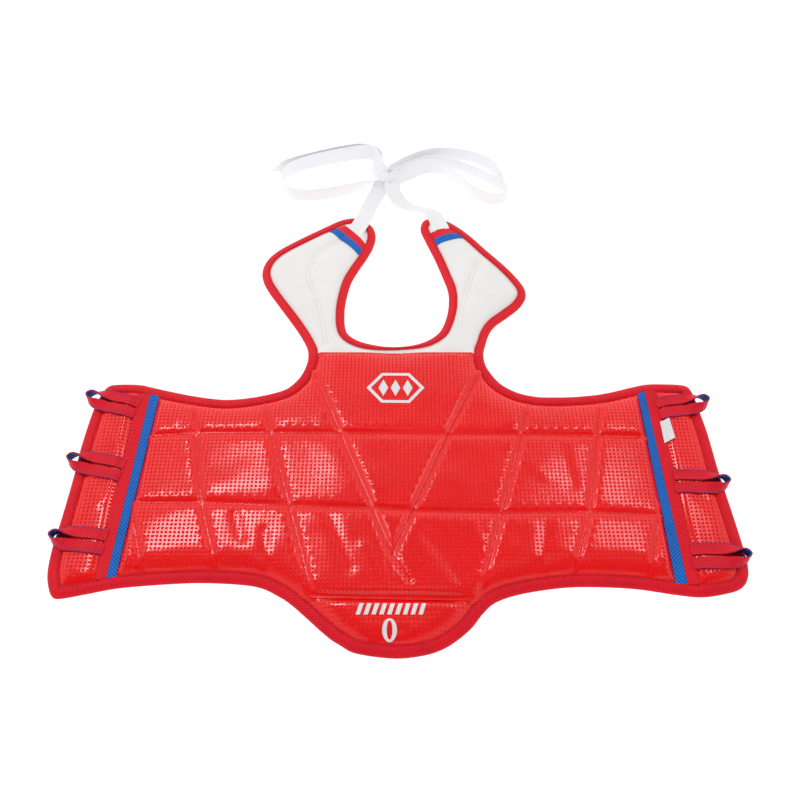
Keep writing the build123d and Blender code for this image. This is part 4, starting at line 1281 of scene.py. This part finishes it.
# ---------------------------------------------------------------- lace loops
def loop_path(root, tip, start):
    """Middle line, outward normal and width direction of a loop's tape, in mm.

    The legs lie on the flap's cover from start, under the band, to where they turn on edge."""
    root, tip = np.array(root, float), np.array(tip, float)
    size = np.linalg.norm(tip - root)
    along = (tip - root) / size
    across = np.array([-along[1], along[0]])
    # distance along, distance from the middle line, height, turn of the tape from flat
    stations = [(start, 7.2, 0, 0), (start + 5, 7.2, 0, 0), (start + 11, 7.2, 0, 0),
                (size - 27, 7.2, 0, 3), (size - 20, 7.2, 14.2, 12),
                (size - 13, 7.0, 14.6, 42), (size - 8, 6.4, 15.0, 70),
                (size - 3.4, 4.4, 15.2, 86), (size - 0.6, 0.0, 15.2, 90)]
    back = [(d, -w, z, 180 - a) for d, w, z, a in reversed(stations[:-1])]
    rows = np.array(stations + back)
    flat = root + along * rows[:, :1] + across * rows[:, 1:2]
    resting = GRID.at(GRID.top, flat[:, 0], flat[:, 1]) + 1.3
    rows[:, 2] = np.where(rows[:, 2] == 0, resting, rows[:, 2])
    fine = smooth_line(rows[:, :3], 1.2)
    share = lengths(rows[:, :3])
    turn = np.interp(lengths(fine), share * lengths(fine)[-1] / share[-1], rows[:, 3])
    turn = smoothed(turn, 6)
    place = np.stack([root[0] + along[0] * fine[:, 0] + across[0] * fine[:, 1],
                      root[1] + along[1] * fine[:, 0] + across[1] * fine[:, 1], fine[:, 2]], 1)
    tangent = directions(place)
    # flat on the first leg the tape's red face looks up; on edge it looks out of the loop
    up = np.array([0, 0, 1.0])
    outward = unit(np.cross(tangent, up))
    middle = np.array([root[0] + along[0] * size * 0.5, root[1] + along[1] * size * 0.5, 0])
    away = place - middle
    away[:, 2] = 0
    sign = np.sign((outward * away).sum(1).mean()) or 1
    outward *= sign
    fold = np.radians(np.where(turn > 90, 180 - turn, turn))[:, None]
    face = up * np.cos(fold) + outward * np.sin(fold)
    face = unit(face - tangent * (face * tangent).sum(1)[:, None])
    return place, face, np.cross(face, tangent)


def lace_loops():
    """Three loops on each flap, red outside and blue inside, with a row of blue stitches."""
    for side, sign in SIDES.items():
        for number, (root, tip) in enumerate(LOOPS[side], start=1):
            a, b = (sign * root[0], root[1]), (sign * tip[0], tip[1])
            share = (TAPED_TOP - root[1]) / (TAPED_TOP - TAPED_BOTTOM)
            edge, low = TAPED[side][2]
            start = edge + (low - edge) * share - 2.0 - root[0]
            place, face, width = loop_path(a, b, start)
            body = f"{side}_loop_{number}"
            outer = ribbon(f"{body}_red_tape", (place + face * LOOP_PLY / 2) * MM, width, face,
                           LOOP_TAPE * MM, LOOP_PLY * MM, RED_LOOP)
            inner = ribbon(f"{body}_blue_tape", (place - face * LOOP_PLY * 0.55) * MM, width,
                           face, (LOOP_TAPE - 0.4) * MM, LOOP_PLY * MM, DARK_BLUE)
            fasten(outer, body=body, nodes=[f"{side}_lace_loop_{number}"])
            fasten(inner, body=body)
            # blue stitches along the edge of the tape that faces away from the other leg
            away = place[0] - place[-1]
            edge = math.copysign(LOOP_TAPE / 2 - 0.6, float(width[0] @ away))
            rail = place + width * edge + face * (LOOP_PLY + 0.1)
            thread = stitch_rows(f"{body}_stitches", [(rail, face)], LOOP_STITCH, BLUE_THREAD)
            fasten(thread, body=body)


# ---------------------------------------------------------------- stitches
def stitch_rows(name, rows, stitch, material):
    """Short threads along rails: each row is its points and the surface normals, in mm."""
    pitch, size, thick = stitch
    verts, faces, uvs = [], [], []
    for rail, normal in rows:
        along = lengths(rail)
        count = int(along[-1] / pitch)
        for i in range(count):
            mids = (i + 0.5) * pitch + np.array([-0.5, -0.25, 0.25, 0.5]) * size
            place = np.stack([np.interp(mids, along, rail[:, k]) for k in range(3)], 1)
            up = np.stack([np.interp(mids, along, normal[:, k]) for k in range(3)], 1)
            run = place[-1] - place[0]
            run /= np.linalg.norm(run) + 1e-9
            base = len(verts)
            for k, rise in enumerate((-0.25, 0.35, 0.35, -0.25)):
                side = np.cross(run, up[k])
                side /= np.linalg.norm(side) + 1e-9
                for a in range(5):
                    angle = 2 * math.pi * a / 5
                    point = (place[k] + up[k] * thick * (rise + 0.5 * math.sin(angle))
                             + side * thick * 0.5 * math.cos(angle))
                    verts.append(point * MM)
                    uvs.append((mids[k] * MM, a * 0.0002))
            faces += tube_faces(4, 5, base) + end_faces(4, 5, base)
    return paint(new_object(name, verts, faces, uvs), material)


def on_cover(line, lift):
    """A plan line laid on the outer cover, with the cover's normals, in mm."""
    line = np.asarray(line, float)
    z = GRID.at(GRID.top, line[:, 0], line[:, 1]) + lift
    place = np.stack([line[:, 0], line[:, 1], z], 1)
    return place, GRID.normals(GRID.top, place * MM, 1)


def in_region(line, region):
    """The stretches of a plan line whose points lie in one region."""
    keep = np.zeros(len(line), bool)
    for planes in REGIONS[region]["cuts"]:
        within = np.ones(len(line), bool)
        for (px, py), (nx, ny) in planes:
            within &= (line[:, 0] - px) * nx + (line[:, 1] - py) * ny <= 0
        keep |= within
    runs, start = [], None
    for i, flag in enumerate(list(keep) + [False]):
        if flag and start is None:
            start = i
        if not flag and start is not None:
            if i - start > 3:
                runs.append(line[start:i])
            start = None
    return runs


def seam_stitches():
    """Threads along the quilting seams and the binding, for each region."""
    curved = (CHEST_SEAM, SIDE_SEAM, SHORT_SEAM)
    lines = [smooth_line(p, 1.5) for seam in curved for p in (seam, mirror(seam))]
    lines += [even_points(np.array(p, float), 1.5) for p in (CROSS_1, CROSS_2)]
    line, normal, width = edge_line()
    rail = line + normal * (width - 1.9)[:, None]
    rail = np.vstack([rail, rail[:1]])
    rows = [on_cover(run, 0.05) for run in in_region(bib_seam_line(1.5, down=4.0), "bib")]
    obj = stitch_rows("bib_top_stitches", rows, BIB_STITCH, DEEP_THREAD)
    fasten(obj, region="bib")
    for name, quilt in (("left", LEFT_QUILT), ("right", RIGHT_QUILT)):
        line = smooth_line(quilt, 1.2)
        aside = turned_left(directions(line))
        rows = [on_cover(line + aside * d, 0.0) for d in (-2.2, 2.2)]
        obj = stitch_rows(f"{name}_shoulder_stitches", rows, SHOULDER_STITCH, PALE_THREAD)
        fasten(obj, body="yoke")
    for region in REGIONS:
        rows = [on_cover(run, 0.05) for source in lines for run in in_region(source, region)]
        rows = [r for r in rows if region != "yoke" or r[0][:, 1].max() < RED_TOP]
        if rows:
            obj = stitch_rows(f"{region}_seam_stitches", rows, SEAM_STITCH, THREAD)
            fasten(obj, region=region)
        edge_rows = []
        for run in in_region(rail, region):
            place = np.column_stack([run, np.full(len(run), BINDING_TOP)])
            edge_rows.append((place, np.tile([0.0, 0.0, 1.0], (len(run), 1))))
        if edge_rows:
            obj = stitch_rows(f"{region}_edge_stitches", edge_rows, EDGE_STITCH, DEEP_THREAD)
            fasten(obj, region=region)


# ---------------------------------------------------------------- prints and label
PRINT_LIFT = 0.16
PRINT_STEP = 1.5  # spacing of the cuts that let a print follow the cover


def outline_print(name, loops, body):
    """Thin print on the cover: filled outlines, holes included, in mm."""
    curve = bpy.data.curves.new(name, "CURVE")
    curve.dimensions = "2D"
    curve.fill_mode = "FRONT"
    for loop in loops:
        spline = curve.splines.new("POLY")
        spline.points.add(len(loop) - 1)
        for point, (x, y) in zip(spline.points, loop):
            point.co = (x, y, 0, 1)
        spline.use_cyclic_u = True
    source = add_object(name, curve)
    bpy.context.view_layer.update()
    mesh = bpy.data.meshes.new_from_object(source)
    bpy.data.objects.remove(source)
    bm = bmesh.new()
    bm.from_mesh(mesh)
    bpy.data.meshes.remove(mesh)
    xs = [p[0] for loop in loops for p in loop]
    ys = [p[1] for loop in loops for p in loop]
    for axis, low, high in ((0, min(xs), max(xs)), (1, min(ys), max(ys))):
        for value in np.arange(low + PRINT_STEP, high, PRINT_STEP):
            co, no = [0.0, 0.0, 0.0], [0.0, 0.0, 0.0]
            co[axis], no[axis] = value, 1.0
            bmesh.ops.bisect_plane(bm, geom=bm.verts[:] + bm.edges[:] + bm.faces[:],
                                   dist=1e-5, plane_co=co, plane_no=no)
    verts = [(v.co.x, v.co.y) for v in bm.verts]
    bm.verts.index_update()
    faces = [[v.index for v in f.verts] for f in bm.faces]
    bm.free()
    plan = np.array(verts)
    z = GRID.at(GRID.top, plan[:, 0], plan[:, 1]) + PRINT_LIFT
    place = np.stack([plan[:, 0] * MM, plan[:, 1] * MM, z * MM], 1)
    obj = edit_mesh(new_object(name, place, faces, place[:, :2]), face_up)
    shade_smooth(obj)
    fasten(paint(obj, PRINT), body=body)


def face_up(bm):
    """Turns every face of a flat mesh upwards."""
    for face in bm.faces:
        if face.normal.z < 0:
            face.normal_flip()


def ellipse(cx, cy, rx, ry, count=40):
    """Points round an ellipse."""
    angles = [2 * math.pi * i / count for i in range(count)]
    return [(cx + rx * math.cos(a), cy + ry * math.sin(a)) for a in angles]


def lozenge(cx, cy, wide, tall, cut_back=None):
    """Lozenge by its half width and half height; cut_back flattens its top and bottom."""
    if cut_back is None:
        return [(cx - wide, cy), (cx, cy + tall), (cx + wide, cy), (cx, cy - tall)]
    left, right = cx - wide + cut_back, cx + wide - cut_back
    return [(cx - wide, cy), (left, cy + tall), (right, cy + tall),
            (cx + wide, cy), (right, cy - tall), (left, cy - tall)]


def prints():
    """A plain lozenge badge on the chest, and a row of bars and a size digit on the bib."""
    outline_print("chest_badge",
                  [lozenge(-1, 7, 31, 19, 16), lozenge(-1, 7, 26.5, 15.6, 13.2)], "chest")
    for k, x in enumerate((-14, -1, 12)):
        outline_print(f"chest_badge_mark_{k + 1}", [lozenge(x, 7, 5.2, 10.5)], "chest")
    outline_print("bib_size_digit",
                  [ellipse(-5.7, -256, 6.7, 10), ellipse(-5.7, -256, 2.6, 8)], "bib")
    low, high = -242.5, -231.5
    for k in range(9):
        x = -34.5 + 7.2 * k
        bar = [(x - 2.4, low), (x + 1.6, low), (x + 5.0, high), (x + 1.0, high)]
        outline_print(f"bib_bar_{k + 1}", [bar], "bib")


def care_label():
    """Blank label sewn in under the loop band on the right flap."""
    t = np.linspace(0, 1, 14)[:, None]
    near = np.array([277.8, -31.5]) * (1 - t) + np.array([278.2, -57.5]) * t
    far = np.array([287.0, -28.5]) * (1 - t) + np.array([289.5, -52.6]) * t
    obj = surface_tape("blank_care_label", near, far, 2.1, 0.4, LABEL)
    fasten(obj, body="right_flap", nodes=["care_label"])


camera()
softboxes()
room()
ties(knot())
covers()
binding()
seam_tapes()
lapped_strips()
shoulder_tapes()
lace_loops()
seam_stitches()
prints()
care_label()
floor()
